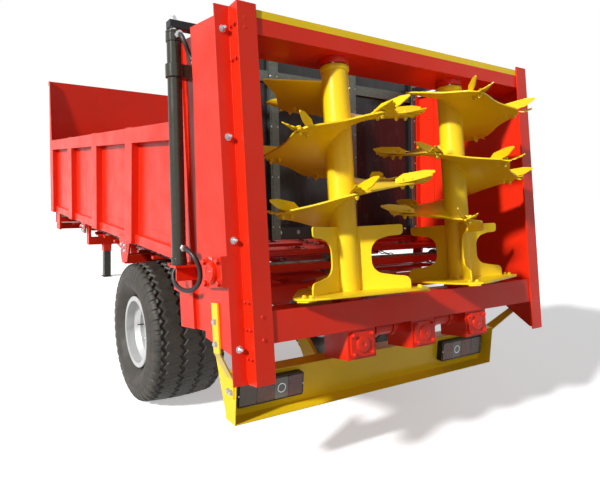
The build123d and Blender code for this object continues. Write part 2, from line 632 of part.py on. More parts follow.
# ------------------------------------------------------------------ gearboxes and drive shaft
box_half = (GEARBOX[0] / 2, GEARBOX[1] / 2)
disc_foot = TUBE_FOOT - DISC_T
hub_top = disc_foot - HUB_GAP
shaft_v = up_lean(SHAFT_Z, BEATER_D)
box_face = along(shaft_v, BEATER_D + box_half[1])[0]
snout = (box_face + SNOUT_Y[0], box_face + SNOUT_Y[1])
with BuildPart() as gearboxes:
    for x in (-BEATER_X, 0, BEATER_X):
        slab((x - box_half[0], x + box_half[0]), (BEATER_D - box_half[1], BEATER_D + box_half[1]),
             (GEARBOX_FOOT, carrier_v - APRON_T), LEANING)
    bar(LEANING.from_local_coords((-BEATER_X, BEATER_D, shaft_v)),
        LEANING.from_local_coords((BEATER_X, BEATER_D, shaft_v)), CROSS_TUBE_R)
    for s in SIDES.values():
        post(s * BEATER_X, BEATER_D, (carrier_v - 2 * APRON_T, hub_top), HUB_R)
        post(s * BEATER_X, BEATER_D, (hub_top - STUB_L - TOP_GAP[1], hub_top), STUB_R + STUB_RUN / 2,
             Mode.SUBTRACT)
    tube_y(0, snout, SHAFT_Z, SNOUT_R)
    tube_y(0, (snout[0] + SNOUT_BORE, snout[1]), SHAFT_Z, SHAFT_R + STUB_RUN / 2, Mode.SUBTRACT)
keep(gearboxes, "gearboxes")

with BuildPart() as drive_shaft:
    tube_y(0, (snout[0] + SNOUT_BORE + TOP_GAP[1], SHAFT_FRONT - PTO_LENGTH), SHAFT_Z, SHAFT_R)
    tube_y(0, (SHAFT_FRONT - PTO_LENGTH, SHAFT_FRONT), SHAFT_Z, PTO_R)
keep(drive_shaft, "drive_shaft")

# ------------------------------------------------------------------ beaters
def edge_radius(angle, knives):
    """Outer radius of the flight: it grows to the knife's tip at each knife."""
    away = min(abs(angle - knife) for knife in knives)
    share = (KNIFE_ROOT - away) / (KNIFE_ROOT - KNIFE_TIP)
    return FLIGHT_R + (KNIFE_R - FLIGHT_R) * max(0, min(1, share))


for side, s in SIDES.items():
    axis_x = s * BEATER_X
    # the flight's angles are counted round the left beater from +X towards ahead
    rear_v, first_knife, knife_count = FLIGHTS[side]
    knives = [first_knife + KNIFE_STEP * i for i in range(knife_count)]
    start, end = first_knife - FLIGHT_END, knives[-1] + FLIGHT_END
    steps = ceil((end - start) / HELIX_STEP)
    edges = [start + (end - start) * i / steps for i in range(steps + 1)]
    for knife in knives:
        edges += [knife - KNIFE_ROOT, knife - KNIFE_TIP, knife + KNIFE_TIP, knife + KNIFE_ROOT]

    def turned(angle):
        """Angle on this beater: the right one mirrors the left one and is turned by its phase."""
        return angle if s < 0 else 180 - angle + RIGHT_PHASE

    def radial_plane(angle, v):
        """Plane that holds the beater's axis: local x points outwards, local y up the lean."""
        a = radians(turned(angle))
        out = LEANING.x_dir * cos(a) + LEANING.y_dir * sin(a)
        centre = LEANING.from_local_coords((axis_x, BEATER_D, v))
        return Plane(origin=centre, x_dir=out, z_dir=out.cross(UP))

    with BuildPart() as beater_tube:
        post(axis_x, BEATER_D, (hub_top - STUB_L, hub_top + CUT), STUB_R)
        post(axis_x, BEATER_D, (hub_top + TOUCH, disc_foot), NECK_R)
        post(axis_x, BEATER_D, (disc_foot, TUBE_TOP), TUBE_R)
        post(axis_x, BEATER_D, (TUBE_TOP, BEAM_FOOT - TOP_GAP[1]), TOP_STUB_R)
    keep(beater_tube, f"beater_tube_{side}")

    with BuildPart() as beater_flight:
        sections = []
        inner_r = (TUBE_R + TOUCH) / cos(radians(HELIX_STEP / 2))
        for angle in sorted(edges):
            outer_r = edge_radius(angle, knives)
            with BuildSketch(radial_plane(angle, rear_v + FLIGHT_PITCH * (angle + 90) / 360)) as section:
                with Locations(((outer_r + inner_r) / 2, 0)):
                    Rectangle(outer_r - inner_r, FLIGHT_T)
            sections.append(section.sketch)
        loft(sections, ruled=True)
    keep(beater_flight, f"beater_flight_{side}")

    with BuildPart() as beater_base:
        with BuildSketch(Plane(origin=LEANING.from_local_coords((axis_x, BEATER_D, disc_foot)),
                               x_dir=(1, 0, 0), z_dir=UP)):
            corners = []
            for i in range(3):
                for offset_angle, r in DISC_CORNERS:
                    a = radians(turned(PADDLE_ANGLE + 120 * i + offset_angle))
                    corners.append((r * cos(a), r * sin(a)))
            with BuildLine():
                Polyline(*corners, close=True)
            make_face()
            Circle(TUBE_R + TOUCH, mode=Mode.SUBTRACT)
        extrude(amount=DISC_T)
        paddle_h = PADDLE_TOP - TUBE_FOOT
        paddle_in = TUBE_R + PADDLE_GAP
        bay_in = TUBE_R + BAY_IN[0]
        arm_out = PADDLE_R - ARM_SHORT[0]
        for i in range(3):
            plane = radial_plane(PADDLE_ANGLE + 120 * i, TUBE_FOOT)
            with BuildSketch(plane.offset(-PADDLE_T / 2)):
                with BuildLine():
                    Polyline((paddle_in, 0), (PADDLE_R, 0), (PADDLE_R, paddle_h * BAY_FOOT),
                             (PADDLE_R - BAY_OUT[0][0], paddle_h * BAY_OUT[0][1]),
                             (bay_in, paddle_h * BAY_IN[1]), (bay_in, paddle_h * BAY_IN[2]),
                             (PADDLE_R - BAY_OUT[1][0], paddle_h * BAY_OUT[1][1]),
                             (arm_out, paddle_h * ARM_SHORT[1]), (arm_out, paddle_h),
                             (paddle_in, paddle_h), close=True)
                make_face()
            extrude(amount=PADDLE_T)
    keep(beater_base, f"beater_base_{side}")

# ------------------------------------------------------------------ guillotine door and rams
with BuildPart() as door_panel:
    slab((-DOOR_HALF, DOOR_HALF), (0, DOOR_T), (0, DOOR_H), DOOR)
    for s in SIDES.values():
        slab((s * DOOR_HALF, s * (DOOR_HALF - EDGE_W)), EDGE_D, (0, DOOR_H), DOOR)
keep(door_panel, "door_panel")

with BuildPart() as door_ribs:
    for x in RIB_X:
        slab((x - RIB_W / 2, x + RIB_W / 2), (-RIB_D, 0), (0, DOOR_H - RIB_GAP), DOOR)
keep(door_ribs, "door_ribs")

with BuildPart() as door_beam:
    beam_half = DOOR_HALF - EDGE_W
    slab((-beam_half, beam_half), (DOOR_T, BEAM_AHEAD), ARM_V, DOOR)
keep(door_beam, "door_beam")

floor_v = RAM_V[0] + SEAT_T
for side, s in SIDES.items():
    with BuildPart() as door_arm:
        slab((s * ARM_X[0], s * ARM_X[1]), (RAM_AHEAD - ARM_W / 2, EDGE_D[0]), ARM_V, DOOR)
        slab((s * ARM_X[0], s * (RAM_X + ARM_W / 2)), (RAM_AHEAD - ARM_W / 2, RAM_AHEAD + ARM_W / 2),
             ARM_V, DOOR)
    keep(door_arm, f"door_arm_{side}")
    with BuildPart() as ram_rod:
        post(s * RAM_X, RAM_AHEAD, (floor_v + PISTON_L, ARM_V[0]), ROD_R, plane=DOOR)
        post(s * RAM_X, RAM_AHEAD, (floor_v + PISTON_REST, floor_v + PISTON_L), RAM_BORE - TOUCH, plane=DOOR)
    keep(ram_rod, f"ram_rod_{side}")
    with BuildPart() as ram_barrel:
        post(s * RAM_X, RAM_AHEAD, RAM_V, RAM_R, plane=DOOR)
        for place in PORT_V:
            face = hose_port(s, place)
            bar(face, face + DOOR.y_dir * (PORT_L + RAM_R / 2), PORT_R)
        post(s * RAM_X, RAM_AHEAD, (floor_v, RAM_V[1] - GLAND_L), RAM_BORE, Mode.SUBTRACT, DOOR)
        post(s * RAM_X, RAM_AHEAD, (RAM_V[1] - GLAND_L, RAM_V[1]), ROD_R + TOUCH, Mode.SUBTRACT, DOOR)
    keep(ram_barrel, f"ram_barrel_{side}")
    with BuildPart() as ram_clamp:
        slab((s * (BODY_HALF + TOUCH), s * (RAM_X - RAM_R + CLAMP_T)),
             (RAM_AHEAD - RAM_R, RAM_AHEAD + RAM_R), CLAMP_V, DOOR)
        post(s * RAM_X, RAM_AHEAD, CLAMP_V, RAM_R + CLAMP_T, plane=DOOR)
        post(s * RAM_X, RAM_AHEAD, (CLAMP_V[0] - CUT, CLAMP_V[1] + CUT), RAM_R, Mode.SUBTRACT, DOOR)
    keep(ram_clamp, f"ram_clamp_{side}")

for side, s in SIDES.items():
    for place in HOSE_POINTS:
        points = hose_route(s, place)
        runs = [b - a for a, b in zip(points, points[1:])]
        radii = []
        for before, after in zip(runs, runs[1:]):
            turn = radians(before.get_angle(after))
            radii.append(ARC_SHARE * min(before.length, after.length) / tan(turn / 2))
        with BuildPart() as hose:
            with BuildLine() as route:
                FilletPolyline(*points, radius=radii)
            with BuildSketch(Plane(origin=points[0], z_dir=runs[0])):
                Circle(HOSE_R)
            sweep(path=route.wire())
        keep(hose, f"hose_{place}_{side}")
        length = route.wire().length
        print(f"hose {place} {side}: length {length:.1f}, radii", [round(r) for r in radii],
              f"volume share {hose.part.volume / (length * pi * HOSE_R ** 2):.4f}")

# ------------------------------------------------------------------ conveyor
chain_z = FLOOR_TOP + CHAIN_OVER + CHAIN_T - CHAIN_R
with BuildPart() as conveyor_chains:
    for x in CHAIN_X:
        with BuildSketch(side_plane(x - CHAIN_W / 2)) as loop:
            with Locations(((CHAIN_REAR + CHAIN_FRONT) / 2, chain_z)):
                SlotCenterToCenter(CHAIN_FRONT - CHAIN_REAR, 2 * CHAIN_R)
                SlotCenterToCenter(CHAIN_FRONT - CHAIN_REAR, 2 * (CHAIN_R - CHAIN_T), mode=Mode.SUBTRACT)
        extrude(loop.sketch, amount=CHAIN_W)
keep(conveyor_chains, "conveyor_chains")

slat_count = int((CHAIN_FRONT - CHAIN_REAR) / SLAT_PITCH) + 1
slat_z = (chain_z - CHAIN_R - SLAT_H / 2, chain_z + CHAIN_R + SLAT_H / 2)
with BuildPart() as conveyor_slats:
    for s in SIDES.values():
        ends = (s * (CHAIN_X[2] + SLAT_X[0]), s * (CHAIN_X[3] + SLAT_X[1]))
        for i in range(slat_count):
            y = CHAIN_REAR + SLAT_FIRST + i * SLAT_PITCH
            for z in slat_z:
                slab(ends, (y - SLAT_W / 2, y + SLAT_W / 2), (z - SLAT_H / 2, z + SLAT_H / 2))
        # one slat on its way round the rear shaft
        slab(ends, (CHAIN_REAR - CHAIN_R - SLAT_H, CHAIN_REAR - CHAIN_R),
             (chain_z - SLAT_W / 2, chain_z + SLAT_W / 2))
keep(conveyor_slats, "conveyor_slats")

with BuildPart() as conveyor_shafts:
    for y, reach in ((CHAIN_REAR, inside), (CHAIN_FRONT, hang_x - HANG_T)):
        tube_x((-reach, reach), y, chain_z, CONVEYOR_R)
        for x in CHAIN_X:
            tube_x((x - SPROCKET_W / 2, x + SPROCKET_W / 2), y, chain_z, CHAIN_R - CHAIN_T - TOUCH)
keep(conveyor_shafts, "conveyor_shafts")

# ------------------------------------------------------------------ bumper and lamps
with BuildPart() as bumper:
    slab((-BUMPER_HALF, BUMPER_HALF), (BUMPER_Y[1] - BUMPER_T, BUMPER_Y[1]), BUMPER_Z)
    for z in ((BUMPER_Z[0], BUMPER_Z[0] + BUMPER_T), (BUMPER_Z[1] - BUMPER_T, BUMPER_Z[1])):
        slab((-BUMPER_HALF, BUMPER_HALF), BUMPER_Y, z)
    for s in SIDES.values():
        slab((s * BUMPER_HALF, s * (BUMPER_HALF - BUMPER_T)), BUMPER_Y, BUMPER_Z)
        with BuildSketch(side_plane(s * RAIL_X - HANGER_T / 2)) as hanger:
            with BuildLine():
                Polyline((BUMPER_Y[1], BUMPER_Z[1] - HANGER_FOOT[0]),
                         (BUMPER_Y[1], BUMPER_Z[0] + HANGER_FOOT[1]),
                         (RAIL_REAR + HANGER_TOP, RAIL_Z[0]), (RAIL_REAR, RAIL_Z[0]), close=True)
            make_face()
        extrude(hanger.sketch, amount=HANGER_T)
keep(bumper, "bumper")

bar_top = up_lean(BAR_TOP_Z, BAR_D[1])
bar_bend = BOX_FOOT[0] - BAR_LAP
bar_low_y = (BUMPER_Y[0] + BAR_LOW[0], BUMPER_Y[0] + BAR_LOW[1])
bar_low_z = BUMPER_Z[1] - BAR_Z[0]
lamp_y = BUMPER_Y[1] - BUMPER_T
for side, s in SIDES.items():
    plate_x = s * (BODY_HALF + OUTER_W)
    with BuildPart() as bumper_arm:
        slab((plate_x, plate_x + s * BAR_T), BAR_D, (bar_bend, bar_top), LEANING)
        with BuildSketch(LEANING.offset(bar_bend)) as upper:
            with Locations((plate_x + s * BAR_T / 2, (BAR_D[0] + BAR_D[1]) / 2)):
                Rectangle(BAR_T, BAR_D[1] - BAR_D[0])
        with BuildSketch(Plane.XY.offset(bar_low_z)) as lower:
            with Locations((s * (BUMPER_HALF + BAR_T / 2), (bar_low_y[0] + bar_low_y[1]) / 2)):
                Rectangle(BAR_T, bar_low_y[1] - bar_low_y[0])
        loft([upper.sketch, lower.sketch], ruled=True)
        slab((s * BUMPER_HALF, s * (BUMPER_HALF + BAR_T)), bar_low_y, (BUMPER_Z[1] - BAR_Z[1], bar_low_z))
    keep(bumper_arm, f"bumper_arm_{side}")
    with BuildPart() as lamp:
        slab((s * LAMP_X[0], s * LAMP_X[1]), (lamp_y - LAMP_D, lamp_y), LAMP_Z)
        fillet(lamp.edges().filter_by(Axis.Y), LAMP_CORNER)
    keep(lamp, f"tail_lamp_{side}")

# ------------------------------------------------------------------ drawbar, eye and jack
inner_half = JACK_W / 2 + JACK_GAP
sleeve_half = inner_half + SLEEVE_T
jack_y = (JACK_Y - sleeve_half, JACK_Y + sleeve_half)
with BuildPart() as drawbar:
    for s in SIDES.values():
        for inset, mode in ((0, Mode.ADD), (DRAWBAR_T, Mode.SUBTRACT)):
            with BuildSketch(Plane.XY.offset(DRAWBAR_Z[0] + inset)) as beam:
                with BuildLine():
                    Polyline((s * (RAIL_X - RAIL_W / 2 + inset), DRAWBAR_REAR + inset),
                             (s * (RAIL_X + RAIL_W / 2 - inset), DRAWBAR_REAR + inset),
                             (s * (NOSE_W / 2 - inset), NOSE_REAR + NOSE_LAP),
                             (s * (BEAM_TIP + inset), NOSE_REAR + NOSE_LAP), close=True)
                make_face()
            extrude(beam.sketch, amount=DRAWBAR_Z[1] - DRAWBAR_Z[0] - 2 * inset, mode=mode)
        slab((s * HANGER_X[0], s * HANGER_X[1]), (CROSS_Y[-1] - HANGER_W / 2, CROSS_Y[-1] + HANGER_W / 2),
             (DRAWBAR_Z[1], CROSS_Z[0]))
    slab((-NOSE_W / 2, NOSE_W / 2), (NOSE_REAR, NOSE_FRONT), DRAWBAR_Z)
    slab((-NOSE_W / 2 + DRAWBAR_T, NOSE_W / 2 - DRAWBAR_T), (NOSE_REAR + DRAWBAR_T, NOSE_FRONT - DRAWBAR_T),
         (DRAWBAR_Z[0] + DRAWBAR_T, DRAWBAR_Z[1] - DRAWBAR_T), mode=Mode.SUBTRACT)
    slab((-sleeve_half, sleeve_half), jack_y, (DRAWBAR_Z[0] - CUT, DRAWBAR_Z[1] + CUT), mode=Mode.SUBTRACT)
keep(drawbar, "drawbar")

eye_z = (DRAWBAR_Z[0] + DRAWBAR_Z[1]) / 2
plate_half, plate_t, plate_short = EYE_PLATE
with BuildPart() as towing_eye:
    with Locations((0, EYE_Y, eye_z)):
        Cylinder(EYE_R, EYE_T)
    slab((-SHANK_W / 2, SHANK_W / 2), (NOSE_FRONT, EYE_Y - EYE_R / 2),
         (eye_z - EYE_T / 2, eye_z + EYE_T / 2))
    slab((-plate_half, plate_half), (NOSE_FRONT, NOSE_FRONT + plate_t),
         (DRAWBAR_Z[0] + plate_short, DRAWBAR_Z[1] - plate_short))
    with Locations((0, EYE_Y, eye_z)):
        Cylinder(EYE_BORE, EYE_T * 2, mode=Mode.SUBTRACT)
keep(towing_eye, "towing_eye")

gusset_out, gusset_end, gusset_foot, gusset_t = SLEEVE_GUSSET
with BuildPart() as jack_sleeve:
    slab((-sleeve_half, sleeve_half), jack_y, SLEEVE_Z)
    for s in SIDES.values():
        with BuildSketch(cross_plane(JACK_Y + gusset_t / 2)) as gusset:
            with BuildLine():
                Polyline((s * (sleeve_half - CUT), DRAWBAR_Z[0]), (s * gusset_out, DRAWBAR_Z[0]),
                         (s * gusset_out, DRAWBAR_Z[0] - gusset_end),
                         (s * (sleeve_half - CUT), SLEEVE_Z[0] + gusset_foot), close=True)
            make_face()
        extrude(gusset.sketch, amount=gusset_t)
    slab((-inner_half, inner_half), (JACK_Y - inner_half, JACK_Y + inner_half),
         (SLEEVE_Z[0] - CUT, SLEEVE_Z[1] - SLEEVE_T), mode=Mode.SUBTRACT)
keep(jack_sleeve, "jack_sleeve")

with BuildPart() as jack_leg:
    slab((-JACK_W / 2, JACK_W / 2), (JACK_Y - JACK_W / 2, JACK_Y + JACK_W / 2), (0, JACK_TOP))
keep(jack_leg, "jack_leg")

# ------------------------------------------------------------------ export
boxes = [piece.bounding_box() for piece in pieces.values()]
middle = (min(b.min.Y for b in boxes) + max(b.max.Y for b in boxes)) / 2
print(f"y of the origin, counted from the columns' foot: {middle:.3f}")
for name, piece in pieces.items():
    placed = piece.moved(Location((0, -middle, 0)))
    placed.label = name
    export_step(placed, f"parts/{name}.step")
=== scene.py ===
"""Detail, finishes and stage for a single-axle manure spreader, laid over its CAD model."""
import json

import bmesh
import bpy
import numpy as np
from bpy.props import FloatProperty, FloatVectorProperty, IntProperty, PointerProperty
from mathutils import Matrix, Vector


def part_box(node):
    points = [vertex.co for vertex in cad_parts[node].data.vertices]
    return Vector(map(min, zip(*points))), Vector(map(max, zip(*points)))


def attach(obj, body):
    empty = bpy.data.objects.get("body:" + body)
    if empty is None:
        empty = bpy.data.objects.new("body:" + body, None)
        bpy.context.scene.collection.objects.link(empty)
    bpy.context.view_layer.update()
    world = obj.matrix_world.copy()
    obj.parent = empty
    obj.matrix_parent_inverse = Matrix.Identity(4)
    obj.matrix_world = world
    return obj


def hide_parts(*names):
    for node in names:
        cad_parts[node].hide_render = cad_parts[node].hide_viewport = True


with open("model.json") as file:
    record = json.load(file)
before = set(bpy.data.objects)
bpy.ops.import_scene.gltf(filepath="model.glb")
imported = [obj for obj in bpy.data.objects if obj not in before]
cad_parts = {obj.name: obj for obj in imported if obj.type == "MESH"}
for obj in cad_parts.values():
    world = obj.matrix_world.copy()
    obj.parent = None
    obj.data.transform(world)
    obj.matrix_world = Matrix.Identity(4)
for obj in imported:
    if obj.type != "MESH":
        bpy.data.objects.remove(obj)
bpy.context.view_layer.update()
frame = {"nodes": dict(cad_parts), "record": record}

bl_info = {
    "name": "Manure spreader",
    "version": (1, 0, 0),
    "blender": (4, 5, 0),
    "location": "View3D > Sidebar > Spreader",
    "description": "Builds the tyres, knives, fittings, hoses and finishes of a manure spreader",
    "category": "Object",
}

BODY = "spreader_frame"
SIDES = {"left": -1, "right": 1}


def joint(name):
    """The record's joint of that name."""
    return next(j for j in frame["record"]["behaviour"]["joints"] if j["name"] == name)


def low(node):
    """Lowest corner of a CAD node."""
    return np.array(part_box(node)[0])


def high(node):
    """Highest corner of a CAD node."""
    return np.array(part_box(node)[1])


# The rear frame leans forward with its beaters; the door leans less.  Each plane is an origin
# and three directions: across the machine, ahead and up the lean.
ACROSS = np.array((1.0, 0.0, 0.0))
BEATER_UP = np.array(joint("beater_left_spin")["axis"])
DOOR_UP = np.array(joint("door_lift")["axis"])
FRAME_DIRS = np.array((ACROSS, np.cross(BEATER_UP, ACROSS), BEATER_UP))
DOOR_DIRS = np.array((ACROSS, np.cross(DOOR_UP, ACROSS), DOOR_UP))
REAR = low("rear_post_left")[1]          # the columns' foot, in the frame's y
FRAME_FOOT = np.array((0.0, REAR, 0.683))
DOOR_FOOT = np.array((0.0, REAR + 1.026, 1.140))

BODY_HALF = -low("side_left")[0]         # outer face of the side posts
SKIN_HALF = BODY_HALF - 0.046            # outer face of the side sheets
COLUMN_HALF = BODY_HALF + 0.070          # outer face of the column boxes
STEP = 0.070                             # from the inner flange ahead to the outer one
BEATER_X = 0.415
BEATER_AHEAD = 0.114
TUBE_R = 0.0665
SEAM = 0.0008                            # gap between a welded plate and its tube
HAIR = 0.0003                            # keeps two faces from lying in one plane
TUBE_FOOT = 0.340                        # top face of the throwing disc, up the lean
DISC_T = 0.010
DISC_R = 0.345
TIP_R = 0.400
PADDLE_R = 0.310
PADDLE_TOP = 0.648
FLIGHT_R = 0.360
FLIGHT_T = 0.008
FLIGHT_PITCH = 0.330
# height at which each flight passes its tube's rear, angle of its lowest knife, knives
FLIGHTS = {"left": (0.797, -177, 11), "right": (0.717, -153, 12)}
KNIFE_STEP = np.radians(64)
FLIGHT_END = np.radians(60)              # from the flight's ends to the first and last knife
SEAT_SHARE = 0.18                        # of the way to the next bay, the seat of a knife
BAY_DEPTH = 0.058                        # of the bays between the knives
LOWER_TAIL = np.radians(18)              # from the lowest knife to where the flight draws in
KNIFE_T = 0.006
PADDLE_ANGLES = np.radians(-37.4) + np.arange(3) * 2 * np.pi / 3
RIGHT_PHASE = np.radians(-107.4)
BEARING = (0.155, 0.474)                 # columns' bearings, ahead and up the lean
GUSSET_UPS = (0.570, 0.765, 1.060, 1.380)
POST_PITCH = 0.885                       # between the posts of a side wall
POST_W = 0.150
BOARD_T = 0.040                          # front board
RAM_X = 1.088
RAM_AHEAD = -0.395
RAM_R = 0.034
RAM_FOOT = -0.088                        # ends of the ram barrel, up the door's lean
RAM_TOP = 1.022
PORT_AHEAD = -0.445                      # face of the hose ports
PORT_UP = {"top": 0.992, "foot": -0.005}
HOSE_D = 0.022
HOSE_LEAD = 0.032                        # straight out of each end
GLAND = 0.016                            # of a hose, out of its seat
# routes of the hoses: across the machine, then ahead of the port and above it
HOSE_POINTS = {
    "top": ((1.080, -0.060, -0.034), (1.056, -0.055, -0.086)),
    "foot": ((1.072, -0.092, -0.022), (1.046, -0.112, -0.084), (1.042, -0.102, -0.150),
             (1.062, -0.062, -0.196), (1.082, 0.010, -0.208), (1.092, 0.082, -0.190),
             (1.092, 0.118, -0.140)),
}


def place(points, origin, dirs):
    """Points given across, ahead and up in a plane's directions, as points of the machine."""
    return np.asarray(origin) + np.asarray(points, float) @ np.asarray(dirs)


def spread_out(*parts):
    """Points from their three coordinates, each a number or an array."""
    return np.stack(np.broadcast_arrays(*parts), axis=-1)


def on_frame(*parts):
    """Points of the leaning frame: across, ahead of the inner flange, up the lean."""
    return place(spread_out(*parts), FRAME_FOOT, FRAME_DIRS)


def on_door(*parts):
    """Points of the door's plane: across, ahead of the sheet, up the lean."""
    return place(spread_out(*parts), DOOR_FOOT, DOOR_DIRS)


# ------------------------------------------------------------------ sizes and colours

def linear(code):
    """Linear red, green and blue of an sRGB hex colour."""
    share = np.array([int(code[i:i + 2], 16) / 255 for i in (1, 3, 5)])
    return tuple(np.where(share <= 0.04045, share / 12.92, ((share + 0.055) / 1.055) ** 2.4))


def colour(label, note, code):
    """A colour property whose default is the hex colour."""
    return FloatVectorProperty(name=label, description=note, subtype="COLOR", min=0, max=1,
                               default=linear(code))


def length(label, note, metres):
    """A length property in metres."""
    return FloatProperty(name=label, description=note, default=metres, min=0.0001, unit="LENGTH")


class SpreaderColours(bpy.types.PropertyGroup):
    red: colour("Red enamel", "Body, chassis and rear frame", "#e42a0d")
    yellow: colour("Yellow enamel", "Beaters, bumper and top cover", "#fad51a")
    door: colour("Door sheet", "Coated sheet of the guillotine door", "#232325")
    rib: colour("Door ribs", "Galvanised ribs of the door", "#666a62")
    ram: colour("Ram enamel", "Ram barrels and jack leg", "#3b3a31")
    black: colour("Black enamel", "Door arms, door beam and axle", "#17171a")
    tyre: colour("Tyre rubber", "Tread and side walls", "#2e2b26")
    rim: colour("Rim silver", "Wheel rims", "#c9cac9")
    hose: colour("Hose rubber", "Cover of the hydraulic hoses", "#1c1b19")
    zinc: colour("Zinc plate", "Bolts, clamps and hose fittings", "#c3c4c6")
    chrome: colour("Hard chrome", "Ram rods", "#d6d7d9")
    steel: colour("Bare steel", "Conveyor chains, shafts and towing eye", "#7d7a76")
    lens: colour("Lamp lens", "Red lens of the tail lamps", "#7d100e")
    floor: colour("Floor", "Studio floor", "#f4f4f4")


class SpreaderSizes(bpy.types.PropertyGroup):
    tread: length("Tread depth", "Depth of the tyre's grooves", 0.012)
    tread_lugs: IntProperty(name="Shoulder lugs", description="Lugs round each shoulder",
                            default=44, min=20, max=90)
    bolt: length("Bolt width", "Across the flats of the frame's bolts", 0.020)
    small_bolt: length("Small bolt width", "Across the flats of the small bolts", 0.015)
    crease: length("Crease height", "Pressed crease in the side sheets", 0.0025)
    bevel: length("Edge rounding", "Rounded edges of cut plates", 0.0015)
    weld: length("Weld width", "Leg of the weld beads", 0.007)


def size(name):
    """A size from the panel, in metres."""
    return getattr(bpy.context.scene.spreader_sizes, name)


# ------------------------------------------------------------------ surfaces

def rounded(corners, radii, steps=6):
    """A closed outline with arcs for corners: each arc touches both sides of its corner, and its
    centre lies on the corner's bisector at radius over the sine of half the angle."""
    corners = np.asarray(corners, float)
    radii = np.broadcast_to(np.asarray(radii, float), len(corners))[:, None]
    back = np.roll(corners, 1, axis=0) - corners
    ahead = np.roll(corners, -1, axis=0) - corners
    back /= np.linalg.norm(back, axis=1, keepdims=True)
    ahead /= np.linalg.norm(ahead, axis=1, keepdims=True)
    half = np.arccos(np.clip((back * ahead).sum(1, keepdims=True), -1, 1)) / 2
    bisector = back + ahead
    bisector /= np.linalg.norm(bisector, axis=1, keepdims=True)
    centre = corners + bisector * radii / np.sin(half)
    start = corners + back * radii / np.tan(half) - centre
    end = corners + ahead * radii / np.tan(half) - centre
    share = np.linspace(0, 1, steps)[None, :, None]
    turn = np.pi - 2 * half[:, :, None]
    arc = np.sin((1 - share) * turn) * start[:, None] + np.sin(share * turn) * end[:, None]
    return (centre[:, None] + arc / np.sin(turn)).reshape(-1, 2)


def grid(points, loop=False, caps=False):
    """A surface through rows of points, as points and groups of faces: each face joins two
    neighbours in one row to the two in the next, all the way round the row; loop joins the last
    row to the first, and caps closes the first and last rows."""
    rows, columns = points.shape[:2]
    index = np.arange(rows * columns).reshape(rows, columns)
    nearer = index if loop else index[:-1]
    further = np.roll(index, -1, axis=0) if loop else index[1:]
    corners = (nearer, np.roll(nearer, -1, axis=1), np.roll(further, -1, axis=1), further)
    faces = [np.stack(corners, axis=-1).reshape(-1, 4)]
    if caps:
        faces += [index[:1, ::-1], index[-1:]]
    return points.reshape(-1, 3), faces


def together(*shapes):
    """Several shapes as one: their points in a row, and each one's faces counted on."""
    points, faces, count = [], [], 0
    for shape_points, shape_faces in shapes:
        points.append(shape_points)
        faces += [group + count for group in shape_faces]
        count += len(shape_points)
    return np.concatenate(points), faces


def extruded(outline, start, end, origin=(0, 0, 0), dirs=np.eye(3)):
    """A flat outline carried straight from one height to another along the third direction."""
    x, y = np.asarray(outline, float).T
    points = spread_out(x, y, np.array((start, end))[:, None])
    return grid(place(points, origin, dirs), caps=True)


def revolved(profile, count, origin=(0, 0, 0), dirs=np.eye(3), loop=False):
    """A profile of radius and height turned round the third direction: it is closed by caps, or,
    as a loop, by joining its last point to its first."""
    radius, height = np.asarray(profile, float).T[:, :, None]
    turn = np.linspace(0, 2 * np.pi, count, endpoint=False)
    points = spread_out(radius * np.cos(turn), radius * np.sin(turn), height)
    return grid(place(points, origin, dirs), loop=loop, caps=not loop)


def rectangle(left, right, bottom, top):
    """The four corners of a rectangle."""
    return [(left, bottom), (right, bottom), (right, top), (left, top)]


def block(x, y, z, radius=0.0, origin=(0, 0, 0), dirs=np.eye(3)):
    """A bar between three ranges; its outline in the first two directions has rounded corners."""
    outline = rectangle(*x, *y)
    if radius:
        outline = rounded(outline, radius)
    return extruded(outline, z[0], z[1], origin, dirs)


def bead(path, radius, sides):
    """A round bead along an open path: circles square to the path, whose plane turns with it."""
    path = np.asarray(path, float)
    ahead = np.gradient(path, axis=0)
    ahead /= np.linalg.norm(ahead, axis=1, keepdims=True)
    helper = np.where(np.abs(ahead[:, 2:]) > 0.9, (1.0, 0, 0), (0, 0, 1.0))
    first = np.cross(ahead, helper)
    first /= np.linalg.norm(first, axis=1, keepdims=True)
    second = np.cross(ahead, first)
    turn = np.linspace(0, 2 * np.pi, sides, endpoint=False)[None, :, None]
    radius = np.broadcast_to(np.asarray(radius, float), len(path))[:, None, None]
    circle = np.cos(turn) * first[:, None] + np.sin(turn) * second[:, None]
    return grid(path[:, None] + radius * circle, caps=True)


def copied(shape, points, outwards, turns=0.0):
    """Copies of a shape at several points: its third direction goes to each outward direction, and
    it is turned about it."""
    points = np.atleast_2d(points).astype(float)
    outwards = np.broadcast_to(np.asarray(outwards, float), points.shape)
    outwards = outwards / np.linalg.norm(outwards, axis=1, keepdims=True)
    helper = np.where(np.abs(outwards[:, 2:]) > 0.9, (0, 1.0, 0), (0, 0, 1.0))
    first = np.cross(helper, outwards)
    first /= np.linalg.norm(first, axis=1, keepdims=True)
    second = np.cross(outwards, first)
    turns = np.broadcast_to(np.asarray(turns, float), len(points))[:, None]
    turned = np.cos(turns) * first + np.sin(turns) * second
    square = np.cos(turns) * second - np.sin(turns) * first
    dirs = np.stack((turned, square, outwards), axis=1)
    corners, faces = shape
    moved = points[:, None] + np.einsum("vi,kij->kvj", corners, dirs)
    step = (np.arange(len(points)) * len(corners))[:, None, None]
    return moved.reshape(-1, 3), [(group + step).reshape(-1, group.shape[1]) for group in faces]


